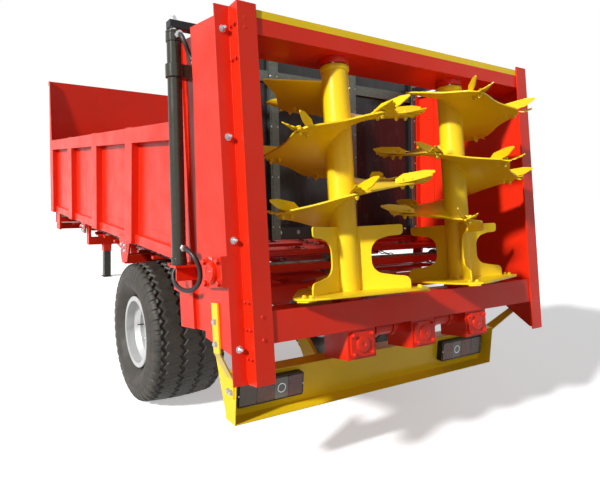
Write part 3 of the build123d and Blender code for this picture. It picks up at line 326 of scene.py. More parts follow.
def bolt(width, washer=True):
    """A hexagon bolt head on its washer: rings of radius and height with six corners, the top ring
    drawn in for the chamfer."""
    r = width / np.sqrt(3)
    tall = 0.62 * width
    base = 0.12 * width if washer else 0.0
    head = revolved([(r, base), (r, base + 0.8 * tall), (0.84 * r, base + tall)], 6)
    if not washer:
        return head
    disc = revolved([(0.80 * width, 0), (0.80 * width, base), (0.5 * width, base)], 14)
    return together(head, disc)


def new_mesh(name, shape, closed=True):
    """The mesh of a shape, shaded smooth: doubles merged and, if it is closed, faces turned
    outwards."""
    points, faces = shape
    mesh = bpy.data.meshes.new(name)
    mesh.from_pydata(points.tolist(), [], [face for group in faces for face in group.tolist()])
    shell = bmesh.new()
    shell.from_mesh(mesh)
    bmesh.ops.remove_doubles(shell, verts=shell.verts, dist=1e-6)
    if closed:
        bmesh.ops.recalc_face_normals(shell, faces=shell.faces)
    shell.to_mesh(mesh)
    shell.free()
    mesh.shade_smooth()
    return mesh


def shown(name, data, look):
    """An object of a mesh, a curve, a light or a camera, put in the scene with its finish."""
    made = bpy.data.objects.new(name, data)
    bpy.context.scene.collection.objects.link(made)
    if look:
        data.materials.append(finish(look))
    return made


def piece(name, shape, look, body=BODY, sharp=32, bevel=0.0):
    """Make the mesh object of a shape: edges sharper than the angle kept, edges rounded by the
    bevel, and its finish and body set."""
    made = shown(name, new_mesh(name, shape), look)
    made.data.set_sharp_from_angle(angle=np.radians(sharp))
    if bevel:
        edge = made.modifiers.new("Rounded edges", "BEVEL")
        edge.width = bevel
        edge.segments = 2
        edge.limit_method = "ANGLE"
        edge.angle_limit = np.radians(40)
        edge.harden_normals = True
    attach(made, body)
    return made


# ------------------------------------------------------------------ finishes

def set_up(tree, node, values):
    """Set a shader node's properties and inputs by name; another node's output is linked in."""
    for name, value in values.items():
        if isinstance(value, bpy.types.NodeSocket):
            tree.links.new(value, node.inputs[name])
        elif isinstance(name, str) and hasattr(node, name):
            setattr(node, name, value)
        else:
            node.inputs[name].default_value = value
    return node


def add_node(tree, kind, **values):
    """Add a shader node with its settings and links; an input may be named in_ and its number."""
    named = {int(name[3:]) if name.startswith("in_") else name: v for name, v in values.items()}
    return set_up(tree, tree.nodes.new(kind), named)


def new_finish(name):
    """An empty material with its surface shader, output and object coordinates."""
    material = bpy.data.materials.new(name)
    material.use_nodes = True
    tree = material.node_tree
    tree.nodes.clear()
    shader = add_node(tree, "ShaderNodeBsdfPrincipled")
    add_node(tree, "ShaderNodeOutputMaterial", Surface=shader.outputs["BSDF"])
    return material, tree, shader, add_node(tree, "ShaderNodeTexCoord").outputs["Object"]


def per_metre(millimetres):
    """Scale of a noise whose cells are that many millimetres across."""
    return 1000 / millimetres


def shaded(rgb, share=1.0, lift=0.0):
    """A colour made darker by a share and then lifted towards white."""
    return tuple(c * share + lift for c in rgb) + (1.0,)


def noise_range(tree, where, cell, spread=(0.3, 0.7), low_out=0.0, high_out=1.0, detail=3.0):
    """Noise with cells of that many millimetres: its values in the spread go from low to high."""
    noise = add_node(tree, "ShaderNodeTexNoise", Vector=where, Scale=per_metre(cell), Detail=detail)
    return add_node(tree, "ShaderNodeMapRange", in_0=noise.outputs["Fac"], in_1=spread[0],
                    in_2=spread[1], in_3=low_out, in_4=high_out).outputs[0]


def mottled(tree, where, cell, spread, first, second, most=1.0, detail=3.0):
    """Colour that goes from the first towards the second, by at most a share, in the patches of a
    noise with cells of that many millimetres."""
    share = noise_range(tree, where, cell, spread, 0.0, most, detail)
    return add_node(tree, "ShaderNodeMix", data_type="RGBA", in_0=share, in_6=first,
                    in_7=second).outputs[2]


def sprayed_enamel(name, rgb, roughness, dust="#6f5a48", peel=5.0):
    """Sprayed enamel on steel: a clear gloss over a faint orange peel, duller where dust lies in
    broad patches, and soft at the plates' edges where the film rounds over them."""
    material, tree, shader, where = new_finish(name)
    dusty = shaded(tuple((a + b) / 2 for a, b in zip(rgb, linear(dust))))
    tone = mottled(tree, where, 420, (0.35, 0.75), shaded(rgb), shaded(rgb, 0.90))
    # broad patches differ in gloss, and the peel's cells are drawn coarser than the real 2 mm
    soft = add_node(tree, "ShaderNodeBevel", samples=4, Radius=0.002)
    film = noise_range(tree, where, peel, detail=1.0)
    relief = add_node(tree, "ShaderNodeBump", Height=film, Strength=0.10, Distance=0.0004,
                      Normal=soft.outputs["Normal"])
    set_up(tree, shader, {
        "Base Color": mottled(tree, where, 9, (0.60, 0.78), tone, dusty, 0.35, detail=6.0),
        "Roughness": noise_range(tree, where, 160, low_out=roughness - 0.05,
                                 high_out=roughness + 0.10),
        "IOR": 1.5, "Specular IOR Level": 0.28, "Coat Weight": 0.05, "Coat Roughness": 0.10,
        "Normal": relief.outputs["Normal"]})
    return material


def coated_sheet(name, rgb):
    """Film-coated sheet of the door: glossy, slightly wavy, with fine rubbed streaks that run up
    and down where the door slides."""
    material, tree, shader, where = new_finish(name)
    streaked = add_node(tree, "ShaderNodeMapping", Vector=where, Scale=(1.0, 1.0, 0.04))
    wave = noise_range(tree, where, 260, (0.2, 0.8), detail=1.0)
    relief = add_node(tree, "ShaderNodeBump", Height=wave, Strength=0.25, Distance=0.004)
    set_up(tree, shader, {
        "Base Color": mottled(tree, streaked.outputs["Vector"], 14, (0.5, 0.75), shaded(rgb),
                              shaded(rgb, 1.25, 0.01), detail=5.0),
        "Roughness": noise_range(tree, where, 120, low_out=0.16, high_out=0.30),
        "Specular IOR Level": 0.35, "Coat Weight": 0.15, "Coat Roughness": 0.10,
        "Normal": relief.outputs["Normal"]})
    return material


def galvanised_steel(name, rgb):
    """Hot-dip galvanised steel: crystals of the zinc, some 12 mm across, that differ in tone and
    gloss, dulled to a grey green."""
    material, tree, shader, where = new_finish(name)
    spangle = add_node(tree, "ShaderNodeTexVoronoi", Vector=where, Scale=per_metre(12))
    shade = add_node(tree, "ShaderNodeSeparateColor", Color=spangle.outputs["Color"])
    tone = add_node(tree, "ShaderNodeMix", data_type="RGBA", in_0=shade.outputs[0],
                    in_6=shaded(rgb, 0.82), in_7=shaded(rgb, 1.08))
    gloss = add_node(tree, "ShaderNodeMapRange", in_0=shade.outputs[1], in_3=0.34, in_4=0.52)
    set_up(tree, shader, {"Base Color": tone.outputs[2], "Roughness": gloss.outputs[0],
                          "Metallic": 0.75})
    return material


def metal(name, rgb, roughness, grain=3.0, spread=0.10, stain=None):
    """Bare or plated steel: a fine grain in gloss, and stains in broad patches."""
    material, tree, shader, where = new_finish(name)
    stained = shaded(linear(stain)) if stain else shaded(rgb, 0.8)
    gloss = noise_range(tree, where, grain, low_out=roughness - spread / 2,
                        high_out=roughness + spread)
    relief = add_node(tree, "ShaderNodeBump", Height=gloss, Strength=0.12, Distance=0.0005)
    set_up(tree, shader, {
        "Base Color": mottled(tree, where, 40, (0.42, 0.72), shaded(rgb), stained, detail=6.0),
        "Roughness": gloss, "Metallic": 1.0, "Normal": relief.outputs["Normal"]})
    return material


def wheel_enamel(name, rgb):
    """Silver wheel enamel: fine aluminium flakes under a satin varnish, with grime in patches."""
    material, tree, shader, where = new_finish(name)
    soft = add_node(tree, "ShaderNodeBevel", samples=4, Radius=0.003)
    tone = mottled(tree, where, 3, (0.35, 0.65), shaded(rgb, 0.9), shaded(rgb), detail=2.0)
    grimy = shaded(linear("#8d8577"))
    set_up(tree, shader, {
        "Base Color": mottled(tree, where, 70, (0.55, 0.8), tone, grimy, 0.5, detail=5.0),
        "Metallic": 0.35, "Roughness": 0.36, "Coat Weight": 0.2, "Normal": soft.outputs["Normal"]})
    return material


def rubber(name, rgb, roughness, dust, dust_share):
    """Moulded rubber: a fine matt grain, and dust that stays in patches and in specks."""
    material, tree, shader, where = new_finish(name)
    dust = linear(dust)
    tone = mottled(tree, where, 60, (0.35, 0.75), shaded(rgb, 0.85), shaded(dust), dust_share,
                   detail=7.0)
    grain = noise_range(tree, where, 2.5, detail=2.0)
    relief = add_node(tree, "ShaderNodeBump", Height=grain, Strength=0.25, Distance=0.0006)
    set_up(tree, shader, {
        "Base Color": mottled(tree, where, 4, (0.66, 0.74), tone, shaded(dust, 1.35), 0.6),
        "Roughness": noise_range(tree, where, 30, low_out=roughness - 0.08,
                                 high_out=roughness + 0.08),
        "Normal": relief.outputs["Normal"]})
    return material


def lamp_lens(name, rgb, through, share=1.0):
    """Acrylic lens, moulded with upright flutes 6 mm apart that break up the lamp behind it."""
    material, tree, shader, where = new_finish(name)
    # a share below one darkens the lens's red: painted shade that stands for an unlit reflector
    # behind it
    rgb = tuple(share * c for c in rgb)
    split = add_node(tree, "ShaderNodeSeparateXYZ", Vector=where)
    flute = add_node(tree, "ShaderNodeMath", operation="MULTIPLY", in_0=split.outputs["X"],
                     in_1=2 * np.pi * per_metre(6))
    wave = add_node(tree, "ShaderNodeMath", operation="SINE", in_0=flute.outputs[0])
    relief = add_node(tree, "ShaderNodeBump", Height=wave.outputs[0], Strength=0.6, Distance=0.0015)
    set_up(tree, shader, {
        "Base Color": mottled(tree, where, 25, (0.3, 0.7), shaded(rgb, 0.9), shaded(rgb)),
        "Roughness": 0.10, "IOR": 1.49, "Transmission Weight": through, "Coat Weight": 0.5,
        "Normal": relief.outputs["Normal"]})
    return material


def seen_directly(tree):
    """1 for rays from the camera, from a mirror and through a lens, and 0 for all others."""
    ray = add_node(tree, "ShaderNodeLightPath")
    first = add_node(tree, "ShaderNodeMath", operation="MAXIMUM",
                     in_0=ray.outputs["Is Camera Ray"], in_1=ray.outputs["Is Glossy Ray"])
    return add_node(tree, "ShaderNodeMath", operation="MAXIMUM", in_0=first.outputs[0],
                    in_1=ray.outputs["Is Transmission Ray"]).outputs[0]


def floor_vinyl(name, rgb):
    """Matt white vinyl floor: it keeps the shadow of the machine, and where the camera, a mirror
    or a lens sees it lit, it is as white as the background; it throws little light upwards."""
    material, tree, shader, where = new_finish(name)
    seen = seen_directly(tree)
    tone = mottled(tree, where, 900, (0.3, 0.7), shaded(rgb, 0.985), shaded(rgb))
    base = add_node(tree, "ShaderNodeMix", data_type="RGBA", in_0=seen, in_6=shaded(rgb, 0.25),
                    in_7=tone)
    lift = add_node(tree, "ShaderNodeMath", operation="MULTIPLY", in_0=seen, in_1=0.42)
    set_up(tree, shader, {
        "Base Color": base.outputs[2], "Roughness": 0.9, "Specular IOR Level": 0.1,
        "Emission Color": (1, 1, 1, 1), "Emission Strength": lift.outputs[0]})
    return material


# Each finish: the function that makes it, its material's name, its colour as a property's name
# or a hex code, its settings, and the record's slot of the pieces that have it.
FINISHES = {
    # vermilion and yellow gloss, which mirror a little at the edges
    "red_enamel": (sprayed_enamel, "red_gloss_enamel", "red", {"roughness": 0.34}, "red_paint"),
    "yellow_enamel": (sprayed_enamel, "yellow_gloss_enamel", "yellow",
                      {"roughness": 0.34, "dust": "#8a6a2c"}, "yellow_paint"),
    # dark olive, smooth and glossy on drawn tube
    "ram_enamel": (sprayed_enamel, "olive_machine_enamel", "ram",
                   {"roughness": 0.24, "dust": "#5c5648", "peel": 8.0}, "ram_paint"),
    # black satin on flat bar
    "black_enamel": (sprayed_enamel, "black_satin_enamel", "black",
                     {"roughness": 0.38, "dust": "#4d4a45"}, "dark_steel"),
    # flakes that keep the rim bright from every side
    "silver_enamel": (wheel_enamel, "silver_wheel_enamel", "rim", {}, "rim_silver"),
    # a dark sheet that mirrors the flights faintly
    "coated_sheet": (coated_sheet, "graphite_coated_sheet", "door", {}, "dark_steel"),
    # the crystals' changing grey
    "galvanised": (galvanised_steel, "galvanised_steel", "rib", {}, "zinc_steel"),
    # bright and softly grained
    "zinc_plate": (metal, "bright_zinc_plate", "zinc", {"roughness": 0.27}, "zinc_steel"),
    # ground rod, mirror bright
    "hard_chrome": (metal, "hard_chrome", "chrome", {"roughness": 0.08, "spread": 0.03},
                    "chromed_rod"),
    # rolled and dulled, with rust in patches
    "bare_steel": (metal, "rolled_bare_steel", "steel",
                   {"roughness": 0.45, "grain": 6.0, "stain": "#5e4433"}, "bare_steel"),
    # grey brown with road dust on the tread
    "tyre_rubber": (rubber, "carbon_black_tyre_rubber", "tyre",
                    {"roughness": 0.60, "dust": "#4f493d", "dust_share": 0.45}, "tyre_rubber"),
    # wrapped cover, with the cloth's fine print in its gloss
    "hose_rubber": (rubber, "nitrile_hose_rubber", "hose",
                    {"roughness": 0.42, "dust": "#3a3833", "dust_share": 0.30}, "hose_rubber"),
    # red; a red lens darkened to a quarter, as painted shade of an unlit reflector behind it; and
    # clear over a bright one
    "red_lens": (lamp_lens, "red_acrylic", "lens", {"through": 0.35}, "lamp_plastic"),
    "dark_lens": (lamp_lens, "smoked_red_acrylic", "lens", {"through": 0.2, "share": 0.25},
                  "lamp_plastic"),
    "clear_lens": (lamp_lens, "clear_acrylic", "#83837e", {"through": 0.3}, "lamp_plastic"),
    # matt white, as bright as the surround
    "studio_floor": (floor_vinyl, "matt_studio_vinyl", "floor", {}, None),
}
MADE = {}


def finish(look):
    """The material of a finish, made once."""
    if look not in MADE:
        make, name, code, settings, _ = FINISHES[look]
        rgb = linear(code) if code[0] == "#" else getattr(bpy.context.scene.spreader_colours, code)
        MADE[look] = make(name, tuple(rgb), **settings)
    return MADE[look]


def both(*names):
    """The left and the right node of each name."""
    return [f"{name}_{side}" for name in names for side in SIDES]


NODE_FINISHES = {
    "red_enamel": ("apron", "chassis", "drawbar", "floor", "front_board", "gearboxes",
                   "jack_sleeve", "top_beam", "top_bearings", "conveyor_slats",
                   *both("door_guide", "rear_post", "side")),
    "yellow_enamel": ("bumper", "top_cover", *both("beater_tube", "bumper_arm")),
    "coated_sheet": ("door_panel",),
    "galvanised": ("door_ribs",),
    "ram_enamel": ("jack_leg", *both("ram_barrel", "ram_clamp")),
    "black_enamel": ("axle", "door_beam", *both("door_arm")),
    "hard_chrome": both("ram_rod"),
    "bare_steel": ("conveyor_shafts", "drive_shaft", "towing_eye"),
    "silver_enamel": both("rim"),
}


# ------------------------------------------------------------------ wheels

CROWN = 0.80                             # of a tyre's half width, its tread
CROWN_DROP = 0.010                       # from its middle to its edges
SHOULDER_DROP = 0.052
BEAD_IN = 0.052                          # from the wall's widest place in to the bead
GROOVES = (-0.36, -0.12, 0.12, 0.36)     # of the width, the grooves' middles
GROOVE_HALF = 0.0130
ZIGZAG = 0.013
SIPE = 0.20                              # of the tread's depth
BEAD_R = 0.236
NUT_R = 0.1025
HUB_IN = 0.117                           # hub's face, in from the rim's edge


def tread_depth(turn, across, half, lugs, depth):
    """Depth of rubber cut away from the tread at an angle and a distance from its middle: four
    zigzag grooves run round it between ribs, fine sipes nick the ribs' edges, and square-edged
    notches between the shoulder lugs run out on to the side wall."""
    zigzag = ZIGZAG * (2 / np.pi) * np.arcsin(np.sin(turn * lugs))
    cut = np.zeros(np.broadcast(turn, across).shape)
    for middle in GROOVES:
        away = np.abs(across - middle * 2 * half - zigzag)
        cut = np.maximum(cut, np.clip((GROOVE_HALF - away) / 0.0040, 0, 1))
    sipe = np.clip((np.sin(turn * lugs * 2 + 9 * across / half) - 0.86) / 0.10, 0, 1)
    middle_part = np.clip((CROWN * half - np.abs(across)) / 0.006, 0, 1)
    cut = np.maximum(cut, SIPE * sipe * middle_part)
    notch = np.clip((np.sin(turn * lugs) - 0.30) / 0.22, 0, 1)
    shoulder = np.clip((np.abs(across) - 0.77 * half) / 0.006, 0, 1)
    return depth * np.maximum(cut, notch * shoulder)


def tyre_section(outer, half):
    """Closed section of a tyre, as distances from its middle plane and radii: a crown that falls
    as a parabola, a quarter round for the shoulder, a wall that bulges in a sine and draws in to
    the bead, and the inside."""
    crown = np.linspace(0, CROWN * half, 44)
    crown_r = outer - CROWN_DROP * (crown / (CROWN * half)) ** 2
    arc = np.linspace(0, np.pi / 2, 11)[1:]
    shoulder = (CROWN + 0.155 * np.sin(arc)) * half
    shoulder_r = crown_r[-1] - SHOULDER_DROP * (1 - np.cos(arc))
    wall = np.linspace(0, 1, 20)[1:]
    bulge = (half - shoulder[-1]) * np.sin(np.pi * np.clip(wall * 1.15, 0, 1))
    wall_x = shoulder[-1] + bulge - BEAD_IN * np.clip((wall - 0.45) / 0.55, 0, 1) ** 1.6
    wall_r = shoulder_r[-1] + (BEAD_R - shoulder_r[-1]) * wall
    inner_x = np.array((0.200, 0.176, 0.172, 0.05))
    inner_r = np.array((0.2125, 0.2125, 0.33, 0.335))
    across = np.concatenate((crown, shoulder, wall_x, inner_x))
    radius = np.concatenate((crown_r, shoulder_r, wall_r, inner_r))
    return (np.concatenate((-across[:0:-1], across))[:, None],
            np.concatenate((radius[:0:-1], radius))[:, None])


def tyre(side):
    """Tyre: a section through the axle carried round it.  The tread and shoulders are lowered by
    the pattern; the side wall has a band of short ribs under the shoulder and a fine ring."""
    lowest, highest = low(f"tyre_{side}"), high(f"tyre_{side}")
    half, _, outer = (highest - lowest) / 2
    lugs = bpy.context.scene.spreader_sizes.tread_lugs
    across, radius = tyre_section(outer, half)
    turn = np.linspace(0, 2 * np.pi, lugs * 12, endpoint=False)[None, :]
    on_tread = np.clip((radius - (outer - 0.090)) / 0.030, 0, 1)
    reach = radius - tread_depth(turn, across, half, lugs, size("tread")) * on_tread
    raised = 0.0012 * np.exp(-(((radius - 0.352) / 0.016) ** 2)) * np.sin(turn * lugs * 2)
    raised = raised + 0.0016 * np.exp(-(((radius - 0.300) / 0.004) ** 2))
    outwards = np.sign(across) * raised * (np.abs(across) > 0.75 * half)
    points = spread_out(np.clip(across + outwards, -half, half), reach * np.cos(turn),
                        reach * np.sin(turn))
    made = piece(f"treaded_tyre_{side}", grid(points + (lowest + highest) / 2, loop=True),
                 "tyre_rubber", f"wheel_{side}", sharp=28)
    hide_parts(f"tyre_{side}")


def wheel_fittings(side):
    """Nuts on their studs round the hub, a domed grease cap, the valve, and the rim's two rolled
    edges, each a four-cornered section carried round."""
    s = SIDES[side]
    body = f"wheel_{side}"
    lowest, highest = low(f"rim_{side}"), high(f"rim_{side}")
    _, y, z = (lowest + highest) / 2
    face = s * (high("rim_right")[0] - HUB_IN)
    outwards = (s, 0.0, 0.0)
    turn = np.arange(8) * np.pi / 4
    ring = spread_out(face, y + NUT_R * np.cos(turn), z + NUT_R * np.sin(turn))
    stud = revolved([(0.009, 0), (0.009, 0.030), (0.007, 0.032)], 10)
    nuts = copied(together(bolt(0.027), stud), ring, outwards, turn)
    piece(f"wheel_nuts_{side}", nuts, "zinc_plate", body)
    arc = np.linspace(0, np.pi / 2, 7)
    dome = [(0.062, 0), (0.062, 0.022), *zip(0.055 * np.cos(arc), 0.028 + 0.022 * np.sin(arc))]
    piece(f"grease_cap_{side}", copied(revolved(dome, 32), [face, y, z], outwards), "silver_enamel",
          body)
    stem = bead([(face + s * out, y + 0.150 + lift, z) for out, lift in
                 ((0.0, 0.0), (0.012, 0.002), (0.030, 0.008), (0.052, 0.012))],
                (0.006, 0.005, 0.0045, 0.004), 8)
    piece(f"tyre_valve_{side}", stem, "hose_rubber", body)
    lip = revolved([(0.2335, -0.0035), (0.2375, 0.0), (0.2335, 0.0035), (0.2295, 0.0)], 72,
                   loop=True)
    edges = copied(lip, [(x, y, z) for x in (lowest[0] + 0.004, highest[0] - 0.004)], outwards)
    piece(f"rolled_rim_edges_{side}", edges, "silver_enamel", body)


# ------------------------------------------------------------------ beaters

def turned_by(side, angle):
    """Angle on this beater: the right one mirrors the left one and is turned by its phase."""
    return angle if side == "left" else np.pi - angle + RIGHT_PHASE


def flight_height(side, angle):
    """Height of a beater's flight at an angle round it."""
    return FLIGHTS[side][0] + FLIGHT_PITCH * (angle / (2 * np.pi) + 0.25)


def flight_angles(side):
    """First and last angle of a flight, and the angles of its knives."""
    angles = np.radians(FLIGHTS[side][1]) + KNIFE_STEP * np.arange(FLIGHTS[side][2])
    return angles[0] - FLIGHT_END, angles[-1] + FLIGHT_END, angles


def around(side, radius, angle, up):
    """Points of the beater at a radius, an angle and a height up the lean."""
    turn = turned_by(side, angle)
    return on_frame(SIDES[side] * BEATER_X + radius * np.cos(turn),
                    BEATER_AHEAD + radius * np.sin(turn), up)


def outwards_at(side, angle):
    """Direction out of the beater's axis at an angle, or one for each of several angles."""
    turn = np.asarray(turned_by(side, angle))[..., None]
    return np.cos(turn) * FRAME_DIRS[0] + np.sin(turn) * FRAME_DIRS[1]


def flight(side):
    """Flight: a screw surface whose height grows evenly with its angle.  Its edge runs out to the
    knives' seats and draws in between them in a half sine.  At the top it ends in a pointed corner
    as the curve runs out again; at the bottom it tapers on to the tube."""
    first, last, seats = flight_angles(side)
    angle = np.linspace(first, last, 320)
    between = (angle - seats[0]) / KNIFE_STEP
    away = 2 * np.abs(between - np.round(between))
    bay = np.sin(np.pi / 2 * np.clip((away - SEAT_SHARE) / (1 - SEAT_SHARE), 0, 1))
    edge = FLIGHT_R - BAY_DEPTH * bay
    tail = np.clip((seats[0] - LOWER_TAIL - angle) / (FLIGHT_END - LOWER_TAIL), 0, 1)
    edge -= 0.75 * (edge - TUBE_R) * tail ** 0.7
    root = TUBE_R + SEAM
    radius = root + (edge[:, None] - root) * np.linspace(0, 1, 9)
    upper, lower = [around(side, radius, angle[:, None], (flight_height(side, angle) + h)[:, None])
                    for h in (FLIGHT_T / 2, -FLIGHT_T / 2)]
    made = piece(f"flight_{side}", grid(np.concatenate((upper, lower[:, ::-1]), axis=1), caps=True),
                 "yellow_enamel", f"beater_{side}", sharp=40)
    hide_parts(f"beater_flight_{side}")


# a knife's leaf, and its comb of four fingers: points outwards and along the flight's rise
LEAF = rounded([(0.262, 0.002), (0.345, 0.004), (0.400, 0.013), (0.4495, 0.040), (0.4465, 0.049),
                (0.400, 0.055), (0.300, 0.046), (0.262, 0.022)],
               [0.002, 0.03, 0.03, 0.003, 0.003, 0.03, 0.02, 0.002], 4)
LEAF_BACK = 0.052                        # from the knife's middle back to the leaf
LEAF_TILT = np.radians(20)
LEAF_SWEEP = 0.175                       # drawn ahead on its way out
COMB = np.array([
    (0.270, -0.042), (0.270, 0.016), (0.352, 0.016), (0.356, 0.003), (0.392, 0.002),
    (0.396, -0.008), (0.358, -0.010), (0.358, -0.013), (0.412, -0.014), (0.417, -0.024),
    (0.362, -0.026), (0.362, -0.029), (0.428, -0.030), (0.434, -0.040), (0.366, -0.042),
    (0.366, -0.045), (0.432, -0.046), (0.438, -0.055), (0.352, -0.058)])
COMB_MIDDLE = -0.022                     # line that the fingers are twisted about
COMB_TWIST = 0.75


def knives(side):
    """Knives: a leaf-shaped blade that stands on the flight as an upright fin, and beside it a
    comb of four stepped fingers twisted out of the flight's plane, held by two bolts.  A knife's
    directions are outwards, along the flight's rise and square to both."""
    angles = flight_angles(side)[2]
    out = outwards_at(side, angles)
    rise = FLIGHT_PITCH / (2 * np.pi * 0.33)
    along = -SIDES[side] * np.cross(FRAME_DIRS[2], out) + rise * FRAME_DIRS[2]
    along /= np.linalg.norm(along, axis=1, keepdims=True)
    square = np.cross(out, along)
    square *= np.sign(square @ FRAME_DIRS[2])[:, None]
    seat = around(side, 0.0, angles, flight_height(side, angles)) + 0.0042 * square
    # the leaf's plane goes outwards and up, tilted a little, and draws ahead towards the tip
    upright = np.stack((out + LEAF_SWEEP * along,
                        np.cos(LEAF_TILT) * square + np.sin(LEAF_TILT) * along,
                        np.cos(LEAF_TILT) * along - np.sin(LEAF_TILT) * square), axis=1)
    flat = np.stack((out, along, square), axis=1)
    twist = COMB_TWIST * np.clip((COMB[:, 0] - 0.330) / 0.070, 0, 1)
    twisted = -twist * (COMB[:, 1] - COMB_MIDDLE)
    shapes = []
    for outline, lift, start, dirs in ((LEAF, 0 * LEAF[:, 0], seat - LEAF_BACK * along, upright),
                                       (COMB, twisted, seat, flat)):
        faces = np.stack([np.column_stack((outline, lift + h)) for h in (0.0, KNIFE_T)])
        shapes += [grid(place(faces, *at), caps=True) for at in zip(start, dirs)]
    piece(f"knives_{side}", together(*shapes), "yellow_enamel", f"beater_{side}",
          bevel=size("bevel") * 0.6)
    stud = together(bolt(0.019), revolved([(0.006, 0), (0.006, 0.020)], 8))
    bolts = []
    for r, t in ((0.296, -0.018), (0.338, -0.030)):
        point = seat + out * r + along * t
        bolts += [copied(bolt(0.019), point + square * (KNIFE_T + 0.0002), square),
                  copied(stud, point - square * 0.0085, -square)]
    piece(f"knife_bolts_{side}", together(*bolts), "yellow_enamel", f"beater_{side}")


def paddle_outline():
    """Outline of a paddle from the tube outwards: a plate with a round-cornered bay cut into its
    outer side, which leaves a long foot and a shorter arm above."""
    inner, bay, arm, height = TUBE_R + SEAM, TUBE_R + 0.062, 0.285, PADDLE_TOP - TUBE_FOOT
    corners = [(inner, 0.0), (PADDLE_R, 0.0), (PADDLE_R, 0.055), (0.232, 0.066), (bay, 0.085),
               (bay, 0.232), (0.215, 0.254), (arm, 0.258), (arm, height), (inner, height)]
    radii = [0.0005, 0.004, 0.030, 0.020, 0.062, 0.066, 0.020, 0.020, 0.012, 0.0005]
    return rounded(corners, radii, 8)


def disc_shape(side, origin):
    """Throwing disc: a flat ring round the tube whose rim has three pairs of corners."""
    turn = turned_by(side, (PADDLE_ANGLES[:, None] + np.radians((-16, -6, 6, 16))).ravel())
    reach = np.tile((DISC_R, TIP_R - 0.012, TIP_R - 0.012, DISC_R), 3)
    rim = np.column_stack((reach * np.cos(turn), reach * np.sin(turn)))
    rim = rounded(rim if side == "left" else rim[::-1], np.tile((0.09, 0.006, 0.006, 0.09), 3), 6)
    turn = np.linspace(0, 2 * np.pi, len(rim), endpoint=False) + np.arctan2(rim[0, 1], rim[0, 0])
    hole = (TUBE_R + SEAM / 2) * np.column_stack((np.cos(turn), np.sin(turn)))
    rings = [np.column_stack((ring, np.full(len(rim), h))) for ring, h in
             ((hole, 0.0), (rim, 0.0), (rim, -DISC_T), (hole, -DISC_T))]
    return grid(place(np.stack(rings), origin, FRAME_DIRS), loop=True)


def beater_base(side):
    """Throwing disc, three paddles welded on it, and bolted wear tips under its corners."""
    body = f"beater_{side}"
    up = FRAME_DIRS[2]
    origin = on_frame(SIDES[side] * BEATER_X, BEATER_AHEAD, TUBE_FOOT)
    tip = rounded([(0.330, -0.034), (TIP_R - 0.004, -0.030), (TIP_R - 0.0005, 0.0),
                   (TIP_R - 0.004, 0.030), (0.330, 0.034)], [0.006, 0.008, 0.05, 0.008, 0.006], 4)
    plates, tips, bolts = [], [], []
    for out in outwards_at(side, PADDLE_ANGLES):
        plates.append(extruded(paddle_outline(), -0.004, 0.004, origin,
                               (out, up, np.cross(out, up))))
        dirs = (out, np.cross(up, out), up)
        tips.append(extruded(tip, -DISC_T - 0.0075, -DISC_T - 0.0005, origin, dirs))
        seats = place([(0.352, -0.018, 0.0), (0.352, 0.018, 0.0)], origin, dirs)
        bolts.append(copied(bolt(0.016), seats, up))
    made = piece(f"disc_and_paddles_{side}", together(disc_shape(side, origin), *plates),
                 "yellow_enamel", body, bevel=size("bevel"))
    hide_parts(f"beater_base_{side}")
    piece(f"wear_tips_{side}", together(*tips), "yellow_enamel", body, bevel=0.001)
    piece(f"wear_tip_bolts_{side}", together(*bolts), "yellow_enamel", body)


def rippled(path, phase, share=0.12):
    """A weld bead along a path: five-sided, its radius rippled by a share in a sine of the
    phase."""
    return bead(path, size("weld") / 2 * (1 + share * np.sin(phase)), 5)


def beater_welds(side):
    """Weld beads along both faces of the flight and the paddles, where they meet the tube, and
    the collar at the tube's top."""
    first, last, _ = flight_angles(side)
    angle = np.linspace(first, last, 420)
    root, gap = TUBE_R + 0.001, 0.0055
    shapes = [rippled(around(side, root, angle, flight_height(side, angle) + h), angle * 60)
              for h in (gap, -gap)]
    axis = on_frame(SIDES[side] * BEATER_X, BEATER_AHEAD, 0.0)
    shapes.append(revolved([(0.0655, 1.404), (0.0700, 1.406), (0.0725, 1.410), (0.0725, 1.4285),
                            (0.0700, 1.4300), (0.0400, 1.4300)], 48, axis, FRAME_DIRS))
    up = np.linspace(TUBE_FOOT + 0.002, PADDLE_TOP - 0.002, 60)
    out = np.linspace(TUBE_R + 0.004, PADDLE_R - 0.012, 50)
    for spot in PADDLE_ANGLES:
        for aside in (-gap, gap):
            foot = around(side, out, spot + aside / out, TUBE_FOOT + 0.001)
            shapes.append(rippled(around(side, root, spot + aside / TUBE_R, up), up * 900))
            shapes.append(rippled(foot, out * 900))
    piece(f"beater_welds_{side}", together(*shapes), "yellow_enamel", f"beater_{side}", sharp=60)


# ------------------------------------------------------------------ rear frame

def column_bolts(side):
    """Hexagon bolts up the column's outer flange, with the thread of their studs showing."""
    ups = np.array((1.490, 1.034, 0.602, 0.151))
    points = on_frame(SIDES[side] * (BODY_HALF + STEP / 2), STEP - HAIR, ups)
    head = together(bolt(size("bolt")),
                    revolved([(0.0075, 0.0), (0.0075, 0.024), (0.0062, 0.026)], 12))
    piece(f"column_bolts_{side}", copied(head, points, -FRAME_DIRS[1], ups * 7), "zinc_plate")


def painted_bolts(side):
    """Small painted bolts: pairs on the step beside the column, and four on the bearing."""
    s = SIDES[side]
    ahead, up = BEARING
    pairs = [on_frame(s * (BODY_HALF + HAIR), a, b) for b in (1.500, 1.358, 0.345, 0.232, 0.112)
             for a in (0.020, 0.052)]
    corners = [on_frame(s * (COLUMN_HALF + 0.0263), ahead + a, up + b)
               for a in (-0.066, 0.066) for b in (-0.046, 0.046)]
    small = bolt(size("small_bolt"))
    shape = together(copied(small, pairs, (s, 0, 0)), copied(bolt(0.024), corners, (s, 0, 0)))
    piece(f"painted_bolts_{side}", shape, "red_enamel")


